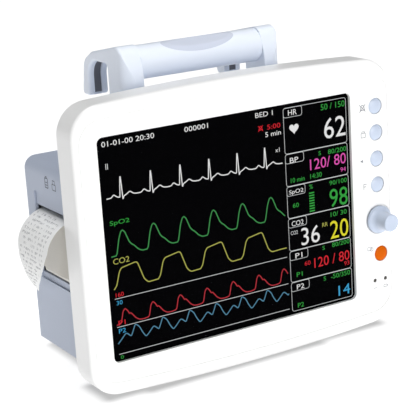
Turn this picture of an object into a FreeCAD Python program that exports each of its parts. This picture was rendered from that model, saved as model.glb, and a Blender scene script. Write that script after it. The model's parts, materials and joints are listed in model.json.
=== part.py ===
import FreeCAD, Part
import math
import operator
import os

import Sketcher
from FreeCAD import Placement, Rotation, Vector

# Bedside patient monitor with a side thermal printer and a carrying handle.
# Frame: millimetres, +X to the reader's right, +Y towards the back, +Z up.  The origin is the
# centre of the four-hole stand pattern in the underside of the base plate.

DIMENSIONS = {
    # front bezel
    "bezel_width": 270, "bezel_height": 211.4, "bezel_depth": 24, "bezel_front": -75,
    "bezel_bottom": -1.5, "bezel_wall": 2.5, "front_plate": 2.5, "bezel_corner": 23,
    "bezel_bow": 3.4, "bezel_edge": 3.2, "contour_inset": 9.5, "contour_side": 2.6, "contour_groove": 0.9,
    "contour_depth": 0.6, "contour_corner": 19,
    # screen stack
    "window_width": 214, "window_height": 164, "window_centre_x": -9.5, "window_centre_z": 105,
    "window_corner": 4.5, "lens_overlap": 3, "gasket_depth": 0.5, "lens_depth": 1.5,
    "lcd_width": 232, "lcd_height": 170, "lcd_depth": 5.2, "lcd_frame_side": 2,
    # keys, encoder and lamps
    "key_column": 121, "key_top": 173, "key_pitch": 20.6, "key_radius": 6, "key_gap": 0.3,
    "key_proud": 1.1, "key_travel": 1, "flange_radius": 7.2, "flange_depth": 1,
    "nibp_key_x": 122.5, "nibp_key_z": 54.9, "board_depth": 1.6, "board_front": -66.4,
    "encoder_z": 83.2, "encoder_recess": 12, "encoder_recess_depth": 1.2, "encoder_push": 0.5,
    "knob_skirt": 11, "knob_grip": 6.8, "knob_length": 17, "shaft_radius": 3,
    "running_gap": 0.05, "lamp_spacing": 10.2, "lamp_z": 33.7, "lamp_radius": 1.5,
    "bushing_radius": 4.6, "bushing_hole": 5, "lcd_gap": 0.3, "gasket_inset": 0.5,
    # screws
    "screw_radius": 1.45, "screw_head": 2.9, "screw_pilot": 1.5, "screw_hole": 1.6,
    "case_screw_x": 108, "case_screw_low": 9, "case_screw_high": 200, "case_boss": 3.2,
    "base_screw_x": 72.5, "base_screw_front": -46, "base_screw_back": 38, "base_boss_height": 8,
    "base_boss_half": 4.5, "counterbore_radius": 3.1, "counterbore_depth": 1.7,
    # housing
    "wall": 2.5, "flange_thickness": 2.4, "flange_gap": 0.3, "pod_half_width": 131.5,
    "pod_bottom": 21.5, "pod_top": 161.5, "pod_back": 20, "pod_corner": 9, "core_half_width": 79.5,
    "core_back": 45, "core_top": 150, "crown_top": 184, "crown_back": -2, "base_depth": 3,
    # stand pattern and feet
    "stand_pitch": 75, "stand_hole": 2, "insert_radius": 3.2, "insert_depth": 8,
    "insert_wall": 1.5,
    "foot_radius": 8, "foot_depth": 5.5, "foot_x": 64, "foot_front": -40, "foot_back": 34,
    # handle
    "leg_inner": 52.1, "leg_width": 15.9, "bar_radius": 12.75, "bar_bore": 7, "bar_y": -14.5,
    "bar_z": 223.4, "grip_length": 62, "grip_depth": 4.2, "grip_dish": 1.3, "channel_width": 6.4,
    "channel_depth": 3, "lining_depth": 1.4, "leg_rounding": 2.2, "leg_seam": 0.6, "leg_corner": 9,
    "grip_lean": 24,
    # printer
    "paper_front": -48.6, "paper_width": 50, "bay_back": 5, "bay_bottom": 71.7, "bay_top": 138.2,
    "face_inset": 1.3, "door_front": -50.4, "door_back": 4.6, "door_top": 123.2, "hinge_x": -127.3,
    "hinge_z": 81, "hinge_radius": 4, "pin_radius": 1.2, "slot_top": 128.1, "platen_x": -121,
    "platen_z": 120, "platen_radius": 5, "platen_shaft": 2, "roll_x": -105.5, "roll_z": 98,
    "roll_radius": 20, "core_radius": 6.5, "spindle_radius": 5, "paper_depth": 0.15,
    "gear_module": 0.6, "platen_teeth": 20, "idler_teeth": 30, "pinion_teeth": 12,
    "gear_front": 1.7, "gear_back": 3.2, "plate_depth": 1.2, "motor_radius": 10,
    "motor_depth": 9, "axle_radius": 1, "stub_radius": 1.5, "cover_gap": 0.4, "strip_gap": 0.35,
    "tail_sweep": 37.3, "tray_bottom": 75, "tray_top": 144, "tray_left": -127, "tray_right": -83,
    "curl_radius": 26, "tail_radius": 60, "curl_z": 99.4, "curl_start_x": -124,
    # rear panel
    "battery_left": 6, "battery_right": 70, "battery_bottom": 11.8, "battery_top": 60.2,
    "inlet_x": -44, "inlet_z": 28, "inlet_half_width": 13.7, "inlet_half_height": 10,
    "rocker_x": -13, "rocker_z": 28, "rocker_tilt": 8, "earth_x": -70, "earth_z": 28, "earth_radius": 3,
    # socket panel
    "panel_front": -42, "panel_back": 12, "panel_bottom": 36, "panel_top": 148,
}

doc = FreeCAD.newDocument("PatientMonitor")
sheet = doc.addObject("Spreadsheet::Sheet", "Dimensions")


class Size:
    """A length with its number and the spreadsheet expression that gives it."""

    def __init__(self, value, text):
        self.value = float(value)
        self.text = text

    def joined(self, other, sign, function):
        other = as_size(other)
        return Size(function(self.value, other.value), f"({self.text} {sign} {other.text})")

    def __add__(self, other):
        return self.joined(other, "+", operator.add)

    def __sub__(self, other):
        return self.joined(other, "-", operator.sub)

    def __mul__(self, other):
        return self.joined(other, "*", operator.mul)

    def __truediv__(self, other):
        return self.joined(other, "/", operator.truediv)

    def __radd__(self, other):
        return as_size(other) + self

    def __rsub__(self, other):
        return as_size(other) - self

    def __rmul__(self, other):
        return as_size(other) * self

    def __neg__(self):
        return as_size(0) - self


def as_size(number):
    return number if isinstance(number, Size) else Size(number, f"({float(number):.6g})")


class Dimensions:
    """Every spreadsheet cell as a Size attribute."""


def fill_sheet():
    sizes = Dimensions()
    for row, (name, value) in enumerate(DIMENSIONS.items(), start=1):
        sheet.set(f"A{row}", name)
        sheet.set(f"B{row}", str(value))
        sheet.setAlias(f"B{row}", name)
        setattr(sizes, name, Size(value, f"Dimensions.{name}"))
    doc.recompute()
    return sizes


d = fill_sheet()
subparts = []
pockets = []


def bind(item, name, size):
    item.setExpression(name, as_size(size).text)


def place(item, x=0, y=0, z=0):
    for letter, size in zip("xyz", (x, y, z)):
        bind(item, f"Placement.Base.{letter}", size)
    return item


def keep(item, name):
    item.Label = name
    subparts.append(item)
    return item


# ---------------------------------------------------------------- Part primitives and booleans

def box(x, y, z):
    item = doc.addObject("Part::Box", "Block")
    for side, (low, high) in zip(("Length", "Width", "Height"), (x, y, z)):
        bind(item, side, as_size(high) - low)
    return place(item, x[0], y[0], z[0])


TURN = {"x": Rotation(Vector(0, 0, 1), Vector(1, 0, 0)),
        "y": Rotation(Vector(0, 0, 1), Vector(0, 1, 0)),
        "z": Rotation()}


def axis_place(item, axis, centre, start):
    item.Placement = Placement(Vector(), TURN[axis])
    spots = {"x": (start, *centre), "y": (centre[0], start, centre[1]), "z": (*centre, start)}
    return place(item, *spots[axis])


def rod(axis, centre, span, radius):
    """A cylinder along an axis; centre holds the other two coordinates in X, Y, Z order."""
    item = doc.addObject("Part::Cylinder", "Rod")
    bind(item, "Radius", radius)
    bind(item, "Height", as_size(span[1]) - span[0])
    return axis_place(item, axis, centre, span[0])


def cone(axis, centre, span, radii):
    item = doc.addObject("Part::Cone", "Taper")
    bind(item, "Radius1", radii[0])
    bind(item, "Radius2", radii[1])
    bind(item, "Height", as_size(span[1]) - span[0])
    return axis_place(item, axis, centre, span[0])


def fuse(*items):
    item = doc.addObject("Part::MultiFuse", "Joined")
    item.Shapes = list(items)
    return item


def cut(base, *tools):
    item = doc.addObject("Part::Cut", "Trimmed")
    item.Base = base
    item.Tool = tools[0] if len(tools) == 1 else fuse(*tools)
    return item


def common(base, tool):
    item = doc.addObject("Part::Common", "Shared")
    item.Base = base
    item.Tool = tool
    return item


def group(*items):
    """Separate identical solids kept together in one node."""
    item = doc.addObject("Part::Compound", "Group")
    item.Links = list(items)
    return item


def ring(axis, centre, span, radii):
    return cut(rod(axis, centre, span, radii[1]), rod(axis, centre, span, radii[0]))


def rounded(item, radius, chosen):
    """Round the edges of a Part object that the function chosen picks."""
    doc.recompute()
    picked = [n for n, edge in enumerate(item.Shape.Edges, start=1) if chosen(edge)]
    result = doc.addObject("Part::Fillet", "Rounded")
    result.Base = item
    result.Edges = [(n, as_size(radius).value, as_size(radius).value) for n in picked]
    return result


def along(axis):
    """True for a straight edge that runs along the axis x, y or z."""
    def chosen(edge):
        if not isinstance(edge.Curve, Part.Line):
            return False
        return abs(getattr(edge.Curve.Direction, axis)) > 0.999
    return chosen


# ---------------------------------------------------------------- PartDesign bodies and sketches

PLANE_AXIS = {"XY": "z", "XZ": "y", "YZ": "x"}


def new_body(name):
    body = doc.addObject("PartDesign::Body", name)
    return keep(body, name)


def sketch_on(body, plane, level=0):
    """A sketch on one of the body's own planes, moved to a level along the plane's axis."""
    sketch = body.newObject("Sketcher::SketchObject", "Outline")
    role = plane + "_Plane"
    support = [feature for feature in body.Origin.OriginFeatures if feature.Role == role][0]
    sketch.AttachmentSupport = [(support, "")]
    sketch.MapMode = "FlatFace"
    level = as_size(level)
    bind(sketch, "AttachmentOffset.Base.z", -level if plane == "XZ" else level)
    return sketch


def pin_point(sketch, geometry, point, spot):
    """Fix a point of the sketch at the spot, with both distances bound to the sheet."""
    for kind, size in zip(("DistanceX", "DistanceY"), spot):
        size = as_size(size)
        if abs(size.value) < 1e-9:
            flat = "PointOnObject"
            sketch.addConstraint(Sketcher.Constraint(flat, geometry, point,
                                                     -2 if kind == "DistanceX" else -1))
            continue
        index = sketch.addConstraint(
            Sketcher.Constraint(kind, -1, 1, geometry, point, size.value))
        sketch.setExpression(f"Constraints[{index}]", size.text)


def corner_spots(points):
    """Replace each (u, v, radius) corner by the two ends of its rounding."""
    spots = []
    count = len(points)
    for index, (u, v, *rest) in enumerate(points):
        if not rest:
            spots.append((u, v, None))
            continue
        radius = as_size(rest[0])
        for step, bend in ((-1, None), (1, radius)):
            other = points[(index + step) % count]
            away_u = as_size(other[0]).value - as_size(u).value
            away_v = as_size(other[1]).value - as_size(v).value
            if abs(away_u) > abs(away_v):
                spots.append((u + math.copysign(1, away_u) * radius, v, bend))
            else:
                spots.append((u, v + math.copysign(1, away_v) * radius, bend))
    return spots


def vector(spot):
    return Vector(as_size(spot[0]).value, as_size(spot[1]).value, 0)


def outline(sketch, points):
    """A closed outline.  A third value in a point is the radius of that square corner."""
    if len(points[0]) == 4:
        draw_runs(sketch, points)
        return
    spots = corner_spots(points)
    runs = []
    for index, start in enumerate(spots):
        end = spots[(index + 1) % len(spots)]
        middle = None
        if end[2] is not None:
            corner = vector(square_corner(start, end, points))
            middle = corner + (vector(start) + vector(end) - corner * 2) * (1 - math.sqrt(0.5))
        runs.append((start, end, middle, end[2]))
    draw_runs(sketch, runs)


def draw_runs(sketch, runs):
    """A closed chain of (start, end, middle, radius) runs; middle is None for a straight run."""
    ends = []
    for start, end, middle, radius in runs:
        if middle is None:
            number = sketch.addGeometry(Part.LineSegment(vector(start), vector(end)), False)
            ends.append((number, 1, 2))
            continue
        arc = Part.Arc(vector(start), middle, vector(end))
        number = sketch.addGeometry(arc, False)
        forward = sketch.Geometry[number].StartPoint.distanceToPoint(vector(start)) < 1e-6
        ends.append((number, 1, 2) if forward else (number, 2, 1))
        index_radius = sketch.addConstraint(Sketcher.Constraint("Radius", number, radius.value))
        sketch.setExpression(f"Constraints[{index_radius}]", radius.text)
    for index, (number, first, last) in enumerate(ends):
        following, following_first, _ = ends[(index + 1) % len(ends)]
        sketch.addConstraint(
            Sketcher.Constraint("Coincident", number, last, following, following_first))
        pin_point(sketch, number, first, runs[index][0][:2])


def barrel(u, v, radius, bow):
    """A rounded rectangle whose lower and upper edges swell by bow, tangent to its corners."""
    radius, bow = as_size(radius), as_size(bow)
    middle_u = (u[0] + as_size(u[1])) / 2
    half = (as_size(u[1]) - u[0]) / 2
    across = half - radius
    spread = (across * across + bow * bow) / (2 * bow)
    swell = spread + radius
    share = swell / spread
    reach, drop = across * share, swell - bow - (spread - bow) * share
    low, high = as_size(v[0]), as_size(v[1])
    runs = []

    def corner(side, level, up):
        """The two ends of a corner's rounding, and the middle of its arc."""
        flat = (middle_u + side * reach, level - up * drop)
        upright = (middle_u + side * half, level - up * radius)
        centre = Vector((middle_u + side * across).value, (level - up * radius).value, 0)
        lean = vector(flat) + vector(upright) - centre * 2
        return flat, upright, centre + lean.normalize() * radius.value

    lower_left, lower_right = corner(-1, low, -1), corner(1, low, -1)
    upper_right, upper_left = corner(1, high, 1), corner(-1, high, 1)
    lowest = Vector(middle_u.value, (low - bow).value, 0)
    highest = Vector(middle_u.value, (high + bow).value, 0)
    runs.append((lower_left[0], lower_right[0], lowest, swell))
    runs.append((lower_right[0], lower_right[1], lower_right[2], radius))
    runs.append((lower_right[1], upper_right[1], None, None))
    runs.append((upper_right[1], upper_right[0], upper_right[2], radius))
    runs.append((upper_right[0], upper_left[0], highest, swell))
    runs.append((upper_left[0], upper_left[1], upper_left[2], radius))
    runs.append((upper_left[1], lower_left[1], None, None))
    runs.append((lower_left[1], lower_left[0], lower_left[2], radius))
    return runs


def square_corner(start, end, points):
    """The square corner whose rounding runs from start to end."""
    low, high = vector(start), vector(end)
    candidates = [(low.x, high.y), (high.x, low.y)]
    for u, v, *_ in points:
        for spot in candidates:
            if math.hypot(as_size(u).value - spot[0], as_size(v).value - spot[1]) < 1e-6:
                return spot
    return candidates[0]


def rectangle(u, v, radius=None):
    corners = ((u[0], v[0]), (u[1], v[0]), (u[1], v[1]), (u[0], v[1]))
    return [(a, b) if radius is None else (a, b, radius) for a, b in corners]


def disc(sketch, u, v, radius):
    radius = as_size(radius)
    circle = Part.Circle(vector((u, v)), Vector(0, 0, 1), radius.value)
    number = sketch.addGeometry(circle, False)
    index = sketch.addConstraint(Sketcher.Constraint("Radius", number, radius.value))
    sketch.setExpression(f"Constraints[{index}]", radius.text)
    pin_point(sketch, number, 3, (u, v))


def extrude(body, kind, sketch, length, plane, forward):
    """Pad or pocket a sketch; forward is True when it runs towards plus along its axis."""
    feature = body.newObject(f"PartDesign::{kind}", kind)
    feature.Profile = sketch
    bind(feature, "Length", length)
    normal_forward = plane != "XZ"
    default_forward = normal_forward if kind == "Pad" else not normal_forward
    feature.Reversed = forward != default_forward
    sketch.Visibility = False
    body.Tip = feature
    return feature


def pad(body, plane, span, *outlines, circles=()):
    """Add material between the two levels of span."""
    sketch = sketch_on(body, plane, span[0])
    for points in outlines:
        outline(sketch, points)
    for circle in circles:
        disc(sketch, *circle)
    return extrude(body, "Pad", sketch, as_size(span[1]) - span[0], plane, True)


def pocket(body, plane, span, *outlines, circles=()):
    """Remove material between the two levels of span."""
    before = body.Tip
    sketch = sketch_on(body, plane, span[0])
    for points in outlines:
        outline(sketch, points)
    for circle in circles:
        disc(sketch, *circle)
    feature = extrude(body, "Pocket", sketch, as_size(span[1]) - span[0], plane, True)
    pockets.append((body, before, feature))
    return feature


def revolve(body, points):
    """Turn an outline in the body's X-Y plane about its Y axis."""
    sketch = sketch_on(body, "XY")
    outline(sketch, points)
    feature = body.newObject("PartDesign::Revolution", "Turned")
    feature.Profile = sketch
    feature.ReferenceAxis = (sketch, ["V_Axis"])
    feature.Angle = 360
    body.Tip = feature
    return feature


def fillet(body, radius, chosen):
    """Round the edges of the body's present solid that the function chosen picks."""
    doc.recompute()
    base = body.Tip
    names = [f"Edge{n}" for n, edge in enumerate(base.Shape.Edges, start=1) if chosen(edge)]
    feature = body.newObject("PartDesign::Fillet", "Fillet")
    feature.Base = (base, names)
    bind(feature, "Radius", radius)
    body.Tip = feature
    return feature


def in_plane(axis, level, *limits):
    """True for an edge that lies in the plane axis = level."""
    level = as_size(level).value

    def chosen(edge):
        bounds = edge.BoundBox
        low = getattr(bounds, axis.upper() + "Min")
        high = getattr(bounds, axis.upper() + "Max")
        if abs(low - level) > 1e-4 or abs(high - level) > 1e-4:
            return False
        return all(limit(edge.BoundBox.Center) for limit in limits)
    return chosen


# ---------------------------------------------------------------- shared positions

half_width = d.bezel_width / 2
bezel_back = d.bezel_front + d.bezel_depth
bezel_top = d.bezel_bottom + d.bezel_height
plate_back = d.bezel_front + d.front_plate
window_x = (d.window_centre_x - d.window_width / 2, d.window_centre_x + d.window_width / 2)
window_z = (d.window_centre_z - d.window_height / 2, d.window_centre_z + d.window_height / 2)
lens_front = plate_back + d.gasket_depth
lcd_front = lens_front + d.lens_depth + d.lcd_gap
flange_front = bezel_back - d.flange_thickness
board_back = d.board_front + d.board_depth
screw_spots = [(side * d.case_screw_x, z) for z in (d.case_screw_low, d.case_screw_high)
               for side in (-1, 1)]
base_corners = [(side * d.base_screw_x, y) for side in (-1, 1)
                for y in (d.base_screw_front, d.base_screw_back)]
boss_top = d.base_depth + d.base_boss_height
key_heights = [d.key_top - row * d.key_pitch for row in range(4)]
paper_y = (d.paper_front, d.paper_front + d.paper_width)


def grown(span, margin):
    return (span[0] - margin, span[1] + margin)


# ---------------------------------------------------------------- front bezel and screen

def make_front_bezel():
    """White moulded frame: rounded slab, hollowed from behind, pierced for screen and keys."""
    body = new_body("front_bezel")
    x, z = (-half_width, half_width), (d.bezel_bottom, bezel_top)
    pad(body, "XZ", (d.bezel_front, bezel_back), barrel(x, z, d.bezel_corner, d.bezel_bow))
    fillet(body, d.bezel_edge, in_plane("y", d.bezel_front))
    inner_corner = d.bezel_corner - d.bezel_wall
    inside = barrel(grown(x, -d.bezel_wall), grown(z, -d.bezel_wall), inner_corner, d.bezel_bow)
    pocket(body, "XZ", (plate_back, bezel_back), inside)
    pocket(body, "XZ", (d.bezel_front, plate_back), rectangle(window_x, window_z, d.window_corner))
    groove_x = (d.contour_side - half_width + 1.4, half_width - d.contour_side)
    groove_z = grown(z, -d.contour_inset)
    pocket(body, "XZ", (d.bezel_front, d.bezel_front + d.contour_depth),
           barrel(groove_x, groove_z, d.contour_corner, d.bezel_bow),
           barrel(grown(groove_x, -d.contour_groove), grown(groove_z, -d.contour_groove),
                  d.contour_corner - d.contour_groove, d.bezel_bow))
    hole = d.key_radius + d.key_gap
    circles = [(d.key_column, z_key, hole) for z_key in key_heights]
    circles.append((d.nibp_key_x, d.nibp_key_z, hole))
    circles += [(d.key_column + side * d.lamp_spacing / 2, d.lamp_z, d.lamp_radius + 0.05)
                for side in (-1, 1)]
    pocket(body, "XZ", (d.bezel_front, plate_back), circles=circles)
    recess_floor = d.bezel_front + d.encoder_recess_depth
    pocket(body, "XZ", (d.bezel_front, recess_floor),
           circles=[(d.key_column, d.encoder_z, d.encoder_recess)])
    pocket(body, "XZ", (recess_floor, plate_back),
           circles=[(d.key_column, d.encoder_z, d.bushing_hole)])
    pad(body, "XZ", (plate_back, flange_front),
        circles=[(*spot, d.case_boss) for spot in screw_spots])
    pocket(body, "XZ", (plate_back + 2, flange_front),
           circles=[(*spot, d.screw_pilot) for spot in screw_spots])


def make_screen():
    """Gasket, clear window, display panel and its steel frame."""
    opening = cut(box(grown(window_x, d.lens_overlap), (plate_back, lens_front),
                      grown(window_z, d.lens_overlap)),
                  box(grown(window_x, d.gasket_inset), (plate_back, lens_front),
                      grown(window_z, d.gasket_inset)))
    keep(opening, "window_gasket")
    lens = box(grown(window_x, d.lens_overlap), (lens_front, lens_front + d.lens_depth),
               grown(window_z, d.lens_overlap))
    keep(rounded(lens, d.window_corner, along("y")), "screen_window")
    lcd_x = (d.window_centre_x - d.lcd_width / 2, d.window_centre_x + d.lcd_width / 2)
    lcd_z = (d.window_centre_z - d.lcd_height / 2, d.window_centre_z + d.lcd_height / 2)
    lcd_back = lcd_front + d.lcd_depth
    keep(box(lcd_x, (lcd_front, lcd_back), lcd_z), "lcd_panel")
    frame = box(grown(lcd_x, d.lcd_frame_side), (lcd_front, lcd_back + 1),
                grown(lcd_z, d.lcd_frame_side))
    keep(cut(frame, box(lcd_x, (lcd_front, lcd_back), lcd_z)), "lcd_frame")


def make_key(name, x, z):
    """Round cap with a shallow crown, a retaining flange and a stem for its switch."""
    body = new_body(name)
    flange_front = plate_back + d.key_gap
    flange_back = flange_front + d.flange_depth
    cap_front = d.bezel_front - d.key_proud
    crown = 0.6
    revolve(body, [(0, cap_front), (d.key_radius - 1.8, cap_front + 0.15),
                   (d.key_radius - 0.6, cap_front + crown), (d.key_radius, cap_front + 2 * crown),
                   (d.key_radius, flange_front), (d.flange_radius, flange_front),
                   (d.flange_radius, flange_back), (1.8, flange_back),
                   (1.8, flange_back + 0.4), (0, flange_back + 0.4)])
    place(body, x, 0, z)


def make_keys():
    names = ("silence_key", "record_key", "volume_key", "function_key")
    for name, z in zip(names, key_heights):
        make_key(name, d.key_column, z)
    make_key("nibp_key", d.nibp_key_x, d.nibp_key_z)
    switches = []
    stem_gap = 1.3
    stem_back = plate_back + d.key_gap + d.flange_depth + 0.4
    spots = [(d.key_column, z) for z in key_heights] + [(d.nibp_key_x, d.nibp_key_z)]
    for x, z in spots:
        switches.append(rod("y", (x, z), (stem_back + stem_gap, d.board_front - 1.5), 1.6))
        switches.append(box((x - 3, x + 3), (d.board_front - 1.5, d.board_front), (z - 3, z + 3)))
    board = box((d.key_column - 9, d.key_column + 10), (d.board_front, board_back), (26, 184))
    keep(fuse(board, *switches), "key_board")


def make_lamps():
    lamps = []
    for side in (-1, 1):
        x = d.key_column + side * d.lamp_spacing / 2
        stem = rod("y", (x, d.lamp_z), (d.bezel_front - 0.2, d.board_front), d.lamp_radius)
        collar = rod("y", (x, d.lamp_z), (plate_back + 0.2, plate_back + 1), d.lamp_radius + 0.7)
        lamps.append(fuse(stem, collar))
    keep(group(*lamps), "status_lamps")


def make_encoder():
    """Turn-and-push selector: knob, shaft, bushed case and the plunger of its push switch."""
    knob = new_body("encoder_knob")
    back = d.bezel_front + 0.2
    front = back - d.knob_length
    grip = d.knob_grip
    bore = d.shaft_radius + 0.02
    revolve(knob, [(0, front), (grip - 2.2, front + 0.35), (grip - 0.7, front + 1.4),
                   (grip - 0.2, front + 3), (grip, front + 10), (grip + 0.9, back - 5.2),
                   (grip + 2.6, back - 4.1), (d.knob_skirt - 0.5, back - 3.4),
                   (d.knob_skirt, back - 2.8), (d.knob_skirt, back), (bore, back),
                   (bore, front + 4), (0, front + 4)])
    place(knob, d.key_column, 0, d.encoder_z)
    centre = (d.key_column, d.encoder_z)
    shaft_back = d.board_front - 2
    keep(rod("y", centre, (front + 4, shaft_back), d.shaft_radius), "encoder_shaft")
    keep(rod("y", centre, (shaft_back + 0.05, shaft_back + 0.85), 4.4), "encoder_plunger")
    x, z = grown((centre[0], centre[0]), 7), grown((centre[1], centre[1]), 7)
    case = box(x, (plate_back + 0.4, d.board_front), z)
    bushing = rod("y", centre, (plate_back - 1.1, plate_back + 0.4), d.bushing_radius)
    cavity = rod("y", centre, (shaft_back - 1.2, d.board_front), 5)
    bore = rod("y", centre, (plate_back - 1.1, shaft_back), d.shaft_radius + d.running_gap)
    keep(cut(fuse(case, bushing), fuse(cavity, bore)), "encoder_case")


# ---------------------------------------------------------------- housing and base

def repeat(body, feature, axis, length, count):
    """Repeat a feature along one of the sketch's axes, H_Axis or V_Axis."""
    pattern = body.newObject("PartDesign::LinearPattern", "Pattern")
    pattern.Originals = [feature]
    pattern.Direction = (feature.Profile[0], [axis])
    pattern.Length = length
    pattern.Occurrences = count
    body.Tip = pattern
    return pattern


def make_rear_housing():
    """Blue-grey shell: side pods, a deeper core below the rail hooks, and a tall crown."""
    body = new_body("rear_housing")
    flange_x = grown((-half_width, half_width), -(d.bezel_wall + d.flange_gap))
    flange_z = grown((d.bezel_bottom, bezel_top), -(d.bezel_wall + d.flange_gap))
    flange_corner = d.bezel_corner - d.bezel_wall - d.flange_gap
    pod_x = (-d.pod_half_width, d.pod_half_width)
    core_x = (-d.core_half_width, d.core_half_width)
    pad(body, "XZ", (flange_front, bezel_back),
        barrel(flange_x, flange_z, flange_corner, d.bezel_bow))
    pad(body, "XZ", (bezel_back, d.pod_back),
        [(pod_x[0], d.pod_bottom), (pod_x[1], d.pod_bottom), (pod_x[1], d.pod_top, d.pod_corner),
         (pod_x[0], d.pod_top, d.pod_corner)])
    pad(body, "XZ", (bezel_back, d.core_back),
        [(core_x[0], 0), (core_x[1], 0), (core_x[1], d.core_top, 8), (core_x[0], d.core_top, 8)])
    pad(body, "XZ", (bezel_back, d.crown_back),
        [(core_x[0], 100), (core_x[1], 100), (core_x[1], d.crown_top, 9),
         (core_x[0], d.crown_top, 9)])
    fillet(body, 2.2, in_plane("y", d.pod_back, lambda spot: abs(spot.x) > 85))
    fillet(body, 6, in_plane("y", d.core_back, lambda spot: spot.z > 4))
    fillet(body, 2.5, in_plane("y", d.crown_back, lambda spot: spot.z > 163))

    wall = d.wall
    pocket(body, "XZ", (flange_front, d.pod_back - wall),
           [(pod_x[0] + wall, d.pod_bottom + wall), (pod_x[1] - wall, d.pod_bottom + wall),
            (pod_x[1] - wall, d.pod_top - wall, d.pod_corner - wall),
            (pod_x[0] + wall, d.pod_top - wall, d.pod_corner - wall)])
    pocket(body, "XZ", (flange_front, d.core_back - wall),
           [(core_x[0] + wall, 4), (core_x[1] - wall, 4),
            (core_x[1] - wall, d.core_top - wall, 5.5), (core_x[0] + wall, d.core_top - wall, 5.5)])
    pocket(body, "XZ", (flange_front, d.crown_back - wall),
           [(core_x[0] + wall, 90), (core_x[1] - wall, 90),
            (core_x[1] - wall, d.crown_top - wall, 6.5),
            (core_x[0] + wall, d.crown_top - wall, 6.5)])
    pocket(body, "XY", (0, 5), rectangle(grown(core_x, -wall), (bezel_back + 0.2, d.core_back - wall)))

    pocket(body, "YZ", (-d.pod_half_width, wall + 0.4 - d.pod_half_width),
           rectangle((bezel_back, d.bay_back), (d.bay_bottom, d.bay_top)))
    pocket(body, "YZ", (d.pod_half_width - wall - 0.4, d.pod_half_width),
           rectangle((d.panel_front, d.panel_back), (d.panel_bottom, d.panel_top), 3))
    gap = 0.4
    openings = [
        rectangle((d.battery_left - gap, d.battery_right + gap),
                  (d.battery_bottom - gap, d.battery_top + gap)),
        rectangle(grown((d.inlet_x, d.inlet_x), d.inlet_half_width),
                  grown((d.inlet_z, d.inlet_z), d.inlet_half_height)),
        rectangle(grown((d.rocker_x, d.rocker_x), 6.6), grown((d.rocker_z, d.rocker_z), 9.6)),
    ]
    pocket(body, "XZ", (d.core_back - wall - gap, d.core_back), *openings,
           circles=[(d.earth_x, d.earth_z, d.earth_radius + 1)])
    slot = pocket(body, "XZ", (d.core_back - wall - gap, d.core_back),
                  rectangle((-54, -24), (96, 98.2), 1))
    repeat(body, slot, "V_Axis", 25, 6)
    slot = pocket(body, "XZ", (d.crown_back - wall - gap, d.crown_back),
                  rectangle((-53.5, -50.5), (165, 178), 1.2))
    repeat(body, slot, "H_Axis", 104, 14)

    for x in ((d.battery_left - 3, d.battery_left - gap), (d.battery_right + gap, d.battery_right + 3)):
        pad(body, "YZ", x, rectangle((38, d.core_back - wall), (11, 18)))
    hinge = (d.core_back - 2.4, d.battery_bottom + 2.4)
    pocket(body, "YZ", (d.battery_left - 3, d.battery_right + 3), circles=[(*hinge, 1)])
    half = d.base_boss_half
    pad(body, "XY", (d.base_depth, boss_top),
        *[rectangle(grown((x, x), half), grown((y, y), half)) for x, y in base_corners])
    pocket(body, "XY", (d.base_depth, boss_top),
           circles=[(*spot, d.screw_pilot) for spot in base_corners])
    holes = [(side * (d.leg_inner + d.leg_width / 2), y, d.screw_hole) for side in (-1, 1)
             for y in LEG_SCREWS]
    pocket(body, "XY", (d.crown_top - wall - gap, d.crown_top), circles=holes)
    pocket(body, "XZ", (flange_front, bezel_back),
           circles=[(*spot, d.screw_hole) for spot in screw_spots])


def make_base():
    """Base plate with feet, threaded inserts for a stand and its own screws."""
    body = new_body("base_plate")
    half = d.core_half_width - d.wall - 0.2
    y = (bezel_back + 0.3, d.core_back - d.wall - 0.2)
    pad(body, "XY", (0, d.base_depth), rectangle((-half, half), y))
    stand = [(side * d.stand_pitch / 2, end * d.stand_pitch / 2)
             for side in (-1, 1) for end in (-1, 1)]
    pad(body, "XY", (d.base_depth, d.insert_depth),
        circles=[(*spot, d.insert_radius + d.insert_wall) for spot in stand])
    pocket(body, "XY", (0, d.insert_depth), circles=[(*spot, d.insert_radius) for spot in stand])
    pocket(body, "XY", (0, d.base_depth), circles=[(*spot, d.screw_hole) for spot in base_corners])
    pocket(body, "XY", (0, d.counterbore_depth),
           circles=[(*spot, d.counterbore_radius) for spot in base_corners])
    keep(group(*[ring("z", spot, (0, d.insert_depth), (d.stand_hole, d.insert_radius))
                 for spot in stand]), "stand_inserts")
    feet = []
    for side in (-1, 1):
        for y_foot in (d.foot_front, d.foot_back):
            centre = (side * d.foot_x, y_foot)
            feet.append(cone("z", centre, (-d.foot_depth, 0), (d.foot_radius - 1, d.foot_radius)))
    keep(group(*feet), "rubber_feet")


# ---------------------------------------------------------------- handle

LEG_SCREWS = (-22, -9)
HOOK_CORNERS = (
    # y, z and rounding radius, from the foot of the leg up, back and down to the hook's tip
    (-29.6, 219, 40), (-22.5, 238.6, 9), (24, 229.8, 14), (37, 222.6, 11), (42.4, 195.4, 3.4),
    (30, 195.4, 3.4), (29.6, 223.2, 13), (-2.1, 223.2, 4),
)


def cross_edge(y, z):
    """True for an edge along X that passes through the point (y, z)."""
    def chosen(edge):
        centre = edge.BoundBox.Center
        return edge.BoundBox.XLength > 5 and math.hypot(centre.y - y, centre.z - z) < 0.5
    return chosen


def channel_outline(depth, low):
    """The hook's inside outline, moved outwards by depth."""
    back, top = 29.8 + depth, 223.2 + depth
    return [(8, low), (back, low), (back, top, 13 + depth), (8, top)]


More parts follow.
